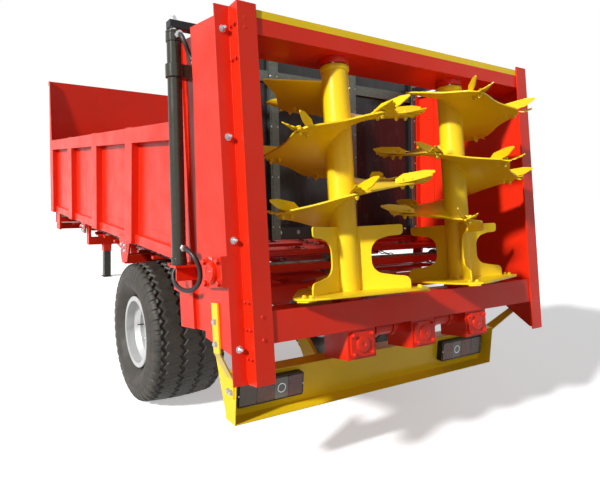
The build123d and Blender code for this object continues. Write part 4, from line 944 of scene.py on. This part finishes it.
def bearing_cap(side):
    """Turned cap of the flanged bearing, with a shallow groove, and its grease nipple."""
    s = SIDES[side]
    dirs = (FRAME_DIRS[1], FRAME_DIRS[2], (s, 0.0, 0.0))
    cap = revolved([(0.040, 0.0), (0.040, 0.004), (0.036, 0.007), (0.030, 0.007), (0.028, 0.0045),
                    (0.012, 0.0045), (0.010, 0.0065), (0.002, 0.0065)], 36,
                   on_frame(s * (COLUMN_HALF + 0.0402), *BEARING), dirs)
    piece(f"bearing_cap_{side}", cap, "red_enamel")
    nipple = revolved([(0.006, 0), (0.006, 0.006), (0.004, 0.007), (0.0035, 0.012), (0.005, 0.014),
                       (0.002, 0.018)], 10)
    seat = on_frame(s * (COLUMN_HALF + 0.027), BEARING[0], 0.530)
    piece(f"grease_nipple_{side}", copied(nipple, seat, (s, -0.2, 0.6)), "zinc_plate")


def frame_welds(side):
    """Weld beads of the rear frame: down the inner corner of the column's step, and along the
    edges of the gussets between the column and the body."""
    s = SIDES[side]
    up = np.linspace(0.02, 1.57, 500)
    shapes = [rippled(on_frame(s * (BODY_HALF + 0.0015), STEP - 0.0012, up), up * 800, 0.15)]
    run = np.linspace(0, 1, 40)
    inner = BODY_HALF + 0.002
    for v in GUSSET_UPS:
        for start, stop in (((COLUMN_HALF - 0.004, 0.322), (BODY_HALF + 0.006, 0.322)),
                            ((inner, 0.330), (inner, 0.460))):
            x, ahead = (a + (b - a) * run for a, b in zip(start, stop))
            shapes.append(rippled(on_frame(s * x, ahead, v + 0.0075), run * 60, 0.15))
    piece(f"frame_welds_{side}", together(*shapes), "red_enamel", sharp=60)


def beam_bolts():
    """Bolts of the beam's ends and the apron, and of the bearings under the beam."""
    ends = [on_frame(x, 0.0097, up) for x in (-0.965, 0.965) for up in (1.485, 1.525)]
    apron = [on_frame(x, 0.0077, up) for x in (-0.955, 0.955) for up in (0.185, 0.280)]
    small = bolt(size("small_bolt"))
    piece("beam_and_apron_bolts", copied(small, ends + apron, -FRAME_DIRS[1]), "red_enamel")
    seats = [on_frame(s * BEATER_X + 0.056 * np.cos(a), BEATER_AHEAD + 0.056 * np.sin(a), 1.4345)
             for s in (-1, 1) for a in np.radians((45, 135, 225, 315))]
    piece("top_bearing_bolts", copied(bolt(0.017), seats, -FRAME_DIRS[2]), "zinc_plate")


def gearbox_covers():
    """Covers with their bolts and round hubs on the three gearboxes under the apron, and the four
    clamps of the tube between them."""
    plate = rounded(rectangle(-0.070, 0.070, -0.058, 0.058), 0.02)
    dirs = (FRAME_DIRS[0], FRAME_DIRS[2], -FRAME_DIRS[1])
    hub = [(0.040, 0.009), (0.038, 0.015), (0.028, 0.018), (0.012, 0.018), (0.010, 0.015),
           (0.002, 0.015)]
    spots = [(a, b, 0.009) for a in (-0.056, 0.056) for b in (-0.044, 0.044)]
    covers = []
    for x in (-BEATER_X, 0.0, BEATER_X):
        origin = on_frame(x, 0.024, 0.094)
        covers.append(extruded(plate, -0.0005, 0.009, origin, dirs))
        covers.append(revolved(hub, 32, origin, dirs))
        covers.append(copied(bolt(0.017), place(spots, origin, dirs), -FRAME_DIRS[1]))
    clamp = [(0.0385, -0.012), (0.047, -0.011), (0.047, 0.011), (0.0385, 0.012)]
    for x in (-0.27, -0.15, 0.15, 0.27):
        covers.append(revolved(clamp, 36, on_frame(x, BEATER_AHEAD, 0.1402),
                               np.roll(FRAME_DIRS, -1, axis=0)))
    piece("gearbox_covers", together(*covers), "red_enamel", bevel=0.001)


# ------------------------------------------------------------------ door and rams

def door_trim():
    """Galvanised capping on the door's edge bars, the band across its head and the rounded ends
    of the two ribs, with their rivets; and the rubber seal along its foot, with its bolts."""
    head = 1.110
    on_sheet = {"origin": DOOR_FOOT, "dirs": DOOR_DIRS}
    shapes, rivets = [], []
    for s in SIDES.values():
        shapes.append(block((s * 0.929, s * 0.866), (-0.0335, -0.0303), (0.0, head - 0.002), 0.001,
                            **on_sheet))
        rivets += [on_door(s * 0.898, -0.0335, up) for up in np.arange(0.06, head, 0.155)]
    shapes.append(block((-0.865, 0.865), (-0.022, -HAIR), (0.965, 1.030), 0.004, **on_sheet))
    for x in (-0.31, 0.31):
        rivets += [on_door(x + aside, -0.0303, up) for up in np.linspace(0.08, 1.0, 7)
                   for aside in (-0.022, 0.022)]
        rib = rounded(rectangle(x - 0.020, x + 0.020, 0.03, 1.075), 0.019, 8)
        shapes.append(extruded(rib, 0.0302, 0.0332, DOOR_FOOT,
                               (DOOR_DIRS[0], DOOR_DIRS[2], -DOOR_DIRS[1])))
    piece("door_trim", together(*shapes), "galvanised", "door", bevel=0.001)
    dome = revolved([(0.0055, 0.0), (0.0055, 0.0012), (0.0040, 0.0032), (0.0015, 0.0040)], 10)
    piece("door_rivets", copied(dome, rivets, -DOOR_DIRS[1]), "zinc_plate", "door")
    seal = block((-0.862, 0.862), (-0.009, -HAIR), (0.004, 0.075), 0.003, **on_sheet)
    piece("door_seal", seal, "hose_rubber", "door", bevel=0.001)
    spots = [on_door(x, -0.0090, 0.045) for x in np.linspace(-0.81, 0.81, 13)]
    piece("door_seal_bolts", copied(bolt(0.016), spots, -DOOR_DIRS[1]), "zinc_plate", "door")


def ram_ends(side):
    """Welded foot cap and screwed head of a ram: two turned profiles over the barrel, with a weld
    bead round the foot."""
    origin = on_door(SIDES[side] * RAM_X, RAM_AHEAD, 0.0)
    foot = [(0.0004, 0.001), (0.003, 0.003), (0.003, 0.032), (0.0004, 0.036)]
    head = [(0.0004, -0.052), (0.004, -0.050), (0.004, -0.016), (0.0015, -0.014), (0.0015, -0.010),
            (0.004, -0.008), (0.004, -0.001), (0.001, 0.0015), (0.0225 - RAM_R, 0.0015),
            (0.0213 - RAM_R, -0.002)]
    caps = [revolved(np.array(profile) + (RAM_R, end), 40, origin, DOOR_DIRS)
            for profile, end in ((foot, RAM_FOOT), (head, RAM_TOP))]
    turn = np.linspace(0, 2 * np.pi, 121)
    ring = spread_out(RAM_R * np.cos(turn), RAM_R * np.sin(turn), RAM_FOOT + 0.037)
    weld = bead(place(ring, origin, DOOR_DIRS), 0.0032 * (1 + 0.15 * np.sin(turn * 24)), 5)
    piece(f"ram_ends_{side}", together(*caps, weld), "ram_enamel")


def arm_fittings(side):
    """Nut on the threaded end of the rod, over the arm, and the two bolts of the arm's foot."""
    s = SIDES[side]
    over = 1.0702
    rod_end = together(bolt(0.030), revolved([(0.011, 0), (0.011, 0.026)], 14))
    foot = [on_door(s * 0.899, ahead, over) for ahead in (-0.09, -0.22)]
    shape = together(copied(rod_end, on_door(s * RAM_X, RAM_AHEAD, over), DOOR_DIRS[2]),
                     copied(bolt(0.019), foot, DOOR_DIRS[2]))
    piece(f"arm_bolts_{side}", shape, "zinc_plate", "door")


def hose_ends(s, which):
    """A hose's two ends: where it leaves its port and where it enters its gland, each a point and
    a direction out of the metal."""
    port = on_door(s * RAM_X, PORT_AHEAD, PORT_UP[which])
    if which == "top":
        gland, outwards = on_frame(s * 1.038, 0.320 + GLAND, 1.440), FRAME_DIRS[1]
    else:
        gland = np.array((s * (BODY_HALF + 0.015 + GLAND), port[1] + 0.112, port[2] - 0.100))
        outwards = np.array((s, 0.0, 0.0))
    return (port, -DOOR_DIRS[1]), (gland, outwards)


def hose(side, which):
    """Hydraulic hose: one smooth curve through its route, straight out of the port and square
    into the gland."""
    s = SIDES[side]
    (port, away), (gland, outwards) = hose_ends(s, which)
    between = [np.array((s * x, port[1] + y, port[2] + z)) for x, y, z in HOSE_POINTS[which]]
    route = [port, port + away * HOSE_LEAD, *between, gland + outwards * HOSE_LEAD, gland]
    curve = bpy.data.curves.new(f"hose_{which}_{side}_rubber", "CURVE")
    curve.dimensions = "3D"
    curve.bevel_depth = HOSE_D / 2
    curve.bevel_resolution = 5
    curve.resolution_u = 10
    curve.use_fill_caps = True
    spline = curve.splines.new("NURBS")
    spline.points.add(len(route) - 1)
    spline.points.foreach_set("co", np.column_stack((route, np.ones(len(route)))).ravel())
    spline.order_u = 3
    spline.use_endpoint_u = True
    made = shown(curve.name, curve, "hose_rubber")
    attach(made, BODY)
    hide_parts(f"hose_{which}_{side}")


def hose_fittings(side):
    """Crimped ferrule, whose radius steps with the sign of a sine, and the hexagon union behind
    it, on every hose end."""
    steps = np.linspace(0.0125, 0.0295, 22)
    crimp = 0.0145 + 0.0007 * np.sign(np.sin((steps - 0.0125) * 1500))
    ferrule = revolved([(0.0112, 0.0120), *zip(crimp, steps), (0.0112, 0.0300)], 24)
    union = revolved([(0.0160, 0.0002), (0.0172, 0.0015), (0.0172, 0.0105), (0.0160, 0.0118)], 6)
    points, outwards = zip(*(end for which in HOSE_POINTS for end in hose_ends(SIDES[side], which)))
    piece(f"hose_fittings_{side}", copied(together(ferrule, union), points, outwards), "zinc_plate")


# ------------------------------------------------------------------ load body

def side_creases(side):
    """Pressed creases of a side wall: in each field between the posts a ridge runs along the
    sheet, a half sine across and sloped at its ends."""
    s = SIDES[side]
    posts = high("front_board")[1] - BOARD_T - np.arange(4) * POST_PITCH
    ends = [(post - POST_PITCH + 0.004, post - POST_W - 0.004) for post in posts]
    ends[-1] = (posts[-1] - POST_W - 0.73, ends[-1][1])
    turn = np.linspace(0, np.pi, 9)
    share = np.linspace(0, 1, 24)[:, None]
    rise = np.clip(np.minimum(share, 1 - share) / 0.03, 0.05, 1)
    x = s * (SKIN_HALF - HAIR + size("crease") * rise * np.sin(turn))
    z = 1.180 + 0.007 * np.cos(turn)
    shapes = [grid(spread_out(x, start + (stop - start) * share, z), caps=True)
              for start, stop in ends]
    piece(f"side_creases_{side}", together(*shapes), "red_enamel", sharp=50)


def side_fittings(side):
    """Flat caps of the posts on the top rail, and the bolts of the lower brackets."""
    s = SIDES[side]
    posts = high("front_board")[1] - BOARD_T - np.arange(4) * POST_PITCH
    plates = [block((post - POST_W + 0.001, post - 0.006), (1.802, 1.806),
                    sorted((s * 0.952, s * 0.998)), dirs=np.roll(np.eye(3), -1, axis=0))
              for post in posts]
    piece(f"post_caps_{side}", together(*plates), "red_enamel", bevel=0.001)
    spots = [(s * x, REAR + y + dy, z) for y, x in ((1.820, 1.0), (3.100, 0.976))
             for dy in (-0.035, 0.035) for z in (1.035, 1.000)]
    piece(f"bracket_bolts_{side}", copied(bolt(0.019), spots, (s, 0, 0)), "zinc_plate")


def lamp(side):
    """Tail lamp: a black moulded case, which is a rounded rectangle carried back and stepped in
    behind its rim, and four lenses, the clear one with a bright ring."""
    lowest, highest = low(f"tail_lamp_{side}"), high(f"tail_lamp_{side}")
    wide, deep, tall = highest - lowest
    origin = (lowest[0], highest[1], lowest[2])
    dirs = np.array(((1.0, 0, 0), (0, 0, 1.0), (0, -1.0, 0)))
    rim = 0.007
    outer = rounded(rectangle(0, wide, 0, tall), 0.012)
    inner = rounded(rectangle(rim, wide - rim, rim, tall - rim), rim)
    steps = ((outer, 0.0), (outer, deep - 0.006), (inner, deep - 0.005), (inner, deep - 0.014))
    case = grid(place([np.column_stack((line, np.full(len(line), h))) for line, h in steps], origin,
                      dirs), caps=True)
    made = piece(f"tail_lamp_case_{side}", case, "black_enamel", bevel=0.0008)
    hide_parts(f"tail_lamp_{side}")
    edges = np.array((0.009, 0.105, 0.205, 0.285, wide - 0.009))
    # the first lens's darker red is painted shade of an unlit reflector behind it
    looks = ["dark_lens", "red_lens", "clear_lens", "red_lens"]
    clear = 2
    if side == "right":
        edges, looks, clear = wide - edges[::-1], looks[::-1], 1
    for number, (start, stop, look) in enumerate(zip(edges[:-1], edges[1:], looks), 1):
        outline = rounded(rectangle(start + 0.0006, stop - 0.0006, 0.009, tall - 0.009), 0.005, 5)
        lens = extruded(outline, deep - 0.0138, deep - 0.002, origin, dirs)
        piece(f"lens_{number}_{side}", lens, look, bevel=0.0012)
    bulb = place((edges[clear] + 0.040, tall / 2, deep - 0.002), origin, dirs)
    ring = revolved([(0.020, 0.0), (0.024, 0.0), (0.024, 0.002), (0.020, 0.002)], 28, bulb, dirs,
                    loop=True)
    spots = place([(x, tall / 2, deep - 0.006) for x in (0.006, wide - 0.006)], origin, dirs)
    screws = copied(bolt(0.007, washer=False), spots, (0, -1, 0))
    piece(f"lamp_ring_and_screws_{side}", together(ring, screws), "zinc_plate")


def bumper_bolts(side):
    """Bolts that hold the bumper's arm to the column and to the bumper's end plate."""
    s = SIDES[side]
    top = [on_frame(s * (COLUMN_HALF + 0.0083), 0.199, up) for up in (0.26, 0.165)]
    y = low("bumper")[1] + 0.045
    end = [(s * (high("bumper")[0] + 0.0083), y + dy, 0.530) for dy in (-0.015, 0.015)]
    piece(f"bumper_bolts_{side}", copied(bolt(0.019), np.array(top + end), (s, 0, 0)), "zinc_plate")


def bumper_wing(side):
    """Three-cornered plate that carries the bumper's end plate ahead, under the column's arm."""
    start, bottom, top = REAR + 0.392, low("bumper")[2] + 0.010, 0.613
    outline = rounded([(start, bottom), (start + 0.130, top + 0.035), (start, top)], 0.004, 3)
    face = high("bumper")[0] - 0.0005
    wing = extruded(outline, face - 0.004, face, dirs=((0, 1, 0), (0, 0, 1), (SIDES[side], 0, 0)))
    piece(f"bumper_wing_{side}", wing, "yellow_enamel", bevel=0.001)


# ------------------------------------------------------------------ conveyor, drawbar and jack

LINK_PAIR = 0.104                        # least length of path for a flat and an upright link
LINK_HALVES = (0.0085, 0.027)            # of a link's loop, across and along
LINK_WIRE = 0.0042


def chain_path(lowest, highest):
    """Links' places along a path of two straights and two half circles: along the machine, up,
    and the direction ahead, from the distance run and the angle bent so far."""
    radius = (highest[2] - lowest[2]) / 2 - 0.008
    start, stop = lowest[1] + radius + 0.008, highest[1] - radius - 0.008
    run, half = stop - start, np.pi * radius
    whole = 2 * run + 2 * half
    count = 2 * int(whole / LINK_PAIR)
    at = np.arange(count) * whole / count
    bend = (np.clip(at - run, 0, half) + np.clip(at - 2 * run - half, 0, half)) / radius
    y = np.clip(start + at, None, stop) - np.clip(at - run - half, 0, run) + radius * np.sin(bend)
    z = (highest[2] + lowest[2]) / 2 + radius * np.cos(bend)
    return y, z, spread_out(0, np.cos(bend), -np.sin(bend))


def chains():
    """Conveyor chains: links set alternately flat and upright along their path.  A link is a
    round wire carried round a loop whose sides are flattened."""
    y, z, ahead = chain_path(low("conveyor_chains"), high("conveyor_chains"))
    turn = np.linspace(0, 2 * np.pi, 12, endpoint=False)
    out = spread_out(np.cos(turn), 0, np.sin(turn))
    loop = spread_out(LINK_HALVES[0] * np.sign(out[:, 0]) * np.abs(out[:, 0]) ** 0.8, 0,
                      LINK_HALVES[1] * out[:, 2])
    tube = np.linspace(0, 2 * np.pi, 5, endpoint=False)[None, :, None]
    wire = np.cos(tube) * out[:, None] + np.sin(tube) * np.array((0, 1.0, 0))
    link = grid(loop[:, None] + LINK_WIRE * wire, loop=True)
    for x in (-0.800, -0.120, 0.120, 0.800):
        shape = copied(link, spread_out(x, y, z), ahead, np.arange(len(y)) % 2 * np.pi / 2)
        name = f"chain_{'left' if x < 0 else 'right'}_{'outer' if abs(x) > 0.5 else 'inner'}"
        made = piece(name, shape, "bare_steel", sharp=70)
    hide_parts("conveyor_chains")


def drawbar_fittings():
    """Bolts and nuts of the towing eye's flange, and a rolled rim round its bore."""
    flange = high("drawbar")[1] + 0.0153
    spots = [(x, flange, z) for x in (-0.072, 0.072) for z in (0.698, 0.762)]
    head = together(bolt(0.024), revolved([(0.008, 0), (0.008, 0.024)], 10))
    piece("towing_eye_bolts", copied(head, spots, (0, 1, 0)), "zinc_plate")
    centre = (0.0, high("towing_eye")[1] - 0.062, 0.730)
    rings = [revolved([(0.0252, h), (0.0300, h + d), (0.0400, h + d), (0.0440, h)], 40, centre,
                      loop=True) for h, d in ((0.0149, 0.0035), (-0.0149, -0.0035))]
    piece("towing_eye_rim", together(*rings), "bare_steel")


def jack_fittings():
    """Ends of the locking pin in the sleeve, with the pin's ring, a wire bent to an open oval,
    and the leg's foot plate."""
    y = (low("jack_leg")[1] + high("jack_leg")[1]) / 2
    half = (high("jack_sleeve")[0] - low("jack_sleeve")[0]) / 2
    z = 0.600
    ends = [bead([(x, y, z) for x in span], 0.009, 12)
            for span in ((-half - 0.022, -half + 0.003), (half - 0.003, half + 0.030))]
    turn = np.linspace(0.3, 2 * np.pi - 0.3, 30)
    ring = bead(spread_out(half + 0.018, y + 0.020 * np.sin(turn),
                           z - 0.022 + 0.022 * np.cos(turn)), 0.0022, 6)
    piece("jack_pin", together(*ends, ring), "zinc_plate")
    foot = [block((-r, r), (y - r, y + r), z_range, corner) for r, z_range, corner in
            ((0.062, (0.0, 0.008), 0.012), (0.052, (0.008, 0.014), 0.006))]
    piece("jack_foot", together(*foot), "ram_enamel", "jack", bevel=0.001)


def shaft_splines():
    """Six splines round the power shaft's stub: the radius rises in a sine of six turns, cut off
    flat, and rows along the shaft draw it in at the ends and at the coupling's groove."""
    end = high("drive_shaft")[1]
    centre_z = (low("drive_shaft")[2] + high("drive_shaft")[2]) / 2
    turn = np.linspace(0, 2 * np.pi, 96, endpoint=False)
    tooth = np.clip(2.2 * np.sin(6 * turn) + 0.4, 0, 1)
    along = np.array((0.074, 0.060, 0.058, 0.0415, 0.0405, 0.0345, 0.0335, 0.002, 0.0))[:, None]
    deep = np.array((0.0, 1.0, 1.0, 1.0, 0.2, 0.2, 1.0, 1.0, 0.5))[:, None]
    radius = 0.01490 + 0.0025 * tooth * deep
    points = spread_out(radius * np.cos(turn), end - along, centre_z + radius * np.sin(turn))
    piece("power_shaft_splines", grid(points, caps=True), "bare_steel", "drive_line")


# ------------------------------------------------------------------ stage

CAMERA_X = -2.074
CAMERA_BACK = 1.834        # behind the columns' foot
CAMERA_Z = 1.544
CAMERA_YAW = np.radians(34.41)
CAMERA_PITCH = np.radians(-6.76)
CAMERA_ROLL = np.radians(2.309)
CAMERA_LENS = 32.66        # millimetres, on a 36 mm sensor
# each light: the direction it comes from, its strength, and how wide it is, in degrees
LIGHTS = {"key": ((-0.86, -0.19, 0.48), 4.2, 4), "fill": ((-0.25, -0.85, 0.45), 0.22, 40)}
SURROUND = 0.19            # strength of the surround's light; seen, it is white


def facing(direction, up=(0.0, 0.0, 1.0)):
    """Rotation whose -Z looks along a direction, with +Y towards up."""
    back = -np.asarray(direction, float)
    back /= np.linalg.norm(back)
    right = np.cross(up, back)
    right /= np.linalg.norm(right)
    return Matrix(np.column_stack((right, np.cross(back, right), back))).to_euler()


def camera():
    """Camera behind and left of the machine, a little above its middle, tilted and rolled."""
    data = bpy.data.cameras.new("studio_camera")
    data.lens = CAMERA_LENS
    data.sensor_width = 36
    data.clip_end = 200
    made = shown("studio_camera", data, None)
    made.location = (CAMERA_X, REAR - CAMERA_BACK, CAMERA_Z)
    ahead = np.array((np.sin(CAMERA_YAW) * np.cos(CAMERA_PITCH),
                      np.cos(CAMERA_YAW) * np.cos(CAMERA_PITCH), np.sin(CAMERA_PITCH)))
    right = np.array((np.cos(CAMERA_YAW), -np.sin(CAMERA_YAW), 0.0))
    up = np.cross(right, ahead)
    made.rotation_euler = facing(ahead, np.cos(CAMERA_ROLL) * up - np.sin(CAMERA_ROLL) * right)
    bpy.context.scene.camera = made


def lights():
    """A key light on the machine's left, a weak and soft one from behind, and an even pale
    surround that the camera and reflections see as white."""
    for name, (direction, strength, spread) in LIGHTS.items():
        data = bpy.data.lights.new(f"{name}_light", "SUN")
        data.energy = strength
        data.angle = np.radians(spread)
        shown(f"{name}_light", data, None).rotation_euler = facing(-np.array(direction))
    world = bpy.data.worlds.new("white_surround")
    world.use_nodes = True
    tree = world.node_tree
    tree.nodes.clear()
    level = add_node(tree, "ShaderNodeMapRange", in_0=seen_directly(tree), in_3=SURROUND, in_4=1.0)
    surround = add_node(tree, "ShaderNodeBackground", Color=(1, 1, 1, 1), Strength=level.outputs[0])
    add_node(tree, "ShaderNodeOutputWorld", Surface=surround.outputs[0])
    bpy.context.scene.world = world


def studio_ground():
    """Floor: a wide disc of rings whose edge rises as a parabola, so that it has no hard
    horizon."""
    reach = np.array((0.0, 4, 8, 14, 22, 34, 50, 70.0))[:, None]
    rise = 0.35 * np.clip((reach - 30) / 40, 0, 1) ** 2
    turn = np.linspace(0, 2 * np.pi, 96, endpoint=False)
    points = spread_out(reach * np.cos(turn), reach * np.sin(turn), rise - 0.0005)
    shown("studio_floor", new_mesh("studio_floor", grid(points), closed=False),
                   "studio_floor")


# ------------------------------------------------------------------ operators

def each_side(*makers):
    """Make the pieces of one side after the other."""
    for side in SIDES:
        for make in makers:
            make(side)


class SPREADER_OT_stage(bpy.types.Operator):
    """Set up the floor, the lights and the camera"""
    bl_idname = "spreader.stage"
    bl_label = "Stage"

    def execute(self, context):
        context.scene.view_settings.view_transform = "Standard"
        studio_ground()
        lights()
        camera()
        return {"FINISHED"}


class SPREADER_OT_finishes(bpy.types.Operator):
    """Give each piece of the CAD model its finish"""
    bl_idname = "spreader.finishes"
    bl_label = "Finishes of the CAD pieces"

    def execute(self, context):
        for look, nodes in NODE_FINISHES.items():
            for node in nodes:
                materials = frame["nodes"][node].data.materials
                materials.clear()
                materials.append(finish(look))
        return {"FINISHED"}


class SPREADER_OT_wheels(bpy.types.Operator):
    """Build the treaded tyres, wheel nuts, grease caps, valves and rim edges"""
    bl_idname = "spreader.wheels"
    bl_label = "Wheels"

    def execute(self, context):
        each_side(tyre, wheel_fittings)
        return {"FINISHED"}


class SPREADER_OT_flights(bpy.types.Operator):
    """Build the screw flights with their bolted knives"""
    bl_idname = "spreader.flights"
    bl_label = "Flights and knives"

    def execute(self, context):
        each_side(flight, knives)
        return {"FINISHED"}


class SPREADER_OT_discs(bpy.types.Operator):
    """Build the throwing discs with their paddles and wear tips, and the beaters' weld beads"""
    bl_idname = "spreader.discs"
    bl_label = "Discs and paddles"

    def execute(self, context):
        each_side(beater_base, beater_welds)
        return {"FINISHED"}


class SPREADER_OT_frame_fittings(bpy.types.Operator):
    """Build the bolts, bearing caps and weld beads of the rear frame"""
    bl_idname = "spreader.frame_fittings"
    bl_label = "Rear frame fittings"

    def execute(self, context):
        each_side(column_bolts, painted_bolts, bearing_cap, frame_welds)
        beam_bolts()
        return {"FINISHED"}


class SPREADER_OT_gearboxes(bpy.types.Operator):
    """Build the covers and bolts of the gearboxes under the apron"""
    bl_idname = "spreader.gearboxes"
    bl_label = "Gearbox covers"

    def execute(self, context):
        gearbox_covers()
        return {"FINISHED"}


class SPREADER_OT_door(bpy.types.Operator):
    """Build the door's trim, rivets and seal"""
    bl_idname = "spreader.door"
    bl_label = "Door"

    def execute(self, context):
        door_trim()
        return {"FINISHED"}


class SPREADER_OT_rams(bpy.types.Operator):
    """Build the ends of the rams and the bolts of the door's arms"""
    bl_idname = "spreader.rams"
    bl_label = "Rams"

    def execute(self, context):
        each_side(ram_ends, arm_fittings)
        return {"FINISHED"}


class SPREADER_OT_hoses(bpy.types.Operator):
    """Build the hydraulic hoses and their crimped ends"""
    bl_idname = "spreader.hoses"
    bl_label = "Hoses"

    def execute(self, context):
        for side in SIDES:
            for which in HOSE_POINTS:
                hose(side, which)
            hose_fittings(side)
        return {"FINISHED"}


class SPREADER_OT_body_fittings(bpy.types.Operator):
    """Build the creases, post caps and bracket bolts of the side walls"""
    bl_idname = "spreader.body_fittings"
    bl_label = "Side walls"

    def execute(self, context):
        each_side(side_creases, side_fittings)
        return {"FINISHED"}


class SPREADER_OT_bumper(bpy.types.Operator):
    """Build the tail lamps, and the bolts and wing plates of the bumper"""
    bl_idname = "spreader.bumper"
    bl_label = "Lamps and bumper"

    def execute(self, context):
        each_side(lamp, bumper_bolts, bumper_wing)
        return {"FINISHED"}


class SPREADER_OT_conveyor(bpy.types.Operator):
    """Build the links of the conveyor chains"""
    bl_idname = "spreader.conveyor"
    bl_label = "Conveyor chains"

    def execute(self, context):
        chains()
        return {"FINISHED"}


class SPREADER_OT_drawbar(bpy.types.Operator):
    """Build the fittings of the drawbar, the jack and the power shaft"""
    bl_idname = "spreader.drawbar"
    bl_label = "Drawbar and jack"

    def execute(self, context):
        drawbar_fittings()
        jack_fittings()
        shaft_splines()
        return {"FINISHED"}


STEPS = (SPREADER_OT_stage, SPREADER_OT_finishes, SPREADER_OT_hoses, SPREADER_OT_wheels,
         SPREADER_OT_flights, SPREADER_OT_discs, SPREADER_OT_frame_fittings, SPREADER_OT_gearboxes,
         SPREADER_OT_door, SPREADER_OT_rams, SPREADER_OT_body_fittings, SPREADER_OT_bumper,
         SPREADER_OT_conveyor, SPREADER_OT_drawbar)


class SPREADER_PT_panel(bpy.types.Panel):
    """Sizes, colours and build steps of the spreader"""
    bl_idname = "SPREADER_PT_panel"
    bl_label = "Manure spreader"
    bl_space_type = "VIEW_3D"
    bl_region_type = "UI"
    bl_category = "Spreader"

    def draw(self, context):
        for group in (context.scene.spreader_sizes, context.scene.spreader_colours):
            for name in group.__annotations__:
                self.layout.prop(group, name)
        for step in STEPS:
            self.layout.operator(step.bl_idname)


CLASSES = (SpreaderColours, SpreaderSizes, *STEPS, SPREADER_PT_panel)


def register():
    """Register the classes and hang the two property groups on the scene."""
    for cls in CLASSES:
        bpy.utils.register_class(cls)
    bpy.types.Scene.spreader_colours = PointerProperty(type=SpreaderColours)
    bpy.types.Scene.spreader_sizes = PointerProperty(type=SpreaderSizes)


def unregister():
    """Take the property groups and classes off again."""
    del bpy.types.Scene.spreader_sizes
    del bpy.types.Scene.spreader_colours
    for cls in reversed(CLASSES):
        bpy.utils.unregister_class(cls)


def main():
    """Build everything in order."""
    register()
    for step in STEPS:
        group, name = step.bl_idname.split(".")
        getattr(getattr(bpy.ops, group), name)()


if __name__ == "__main__":
    main()
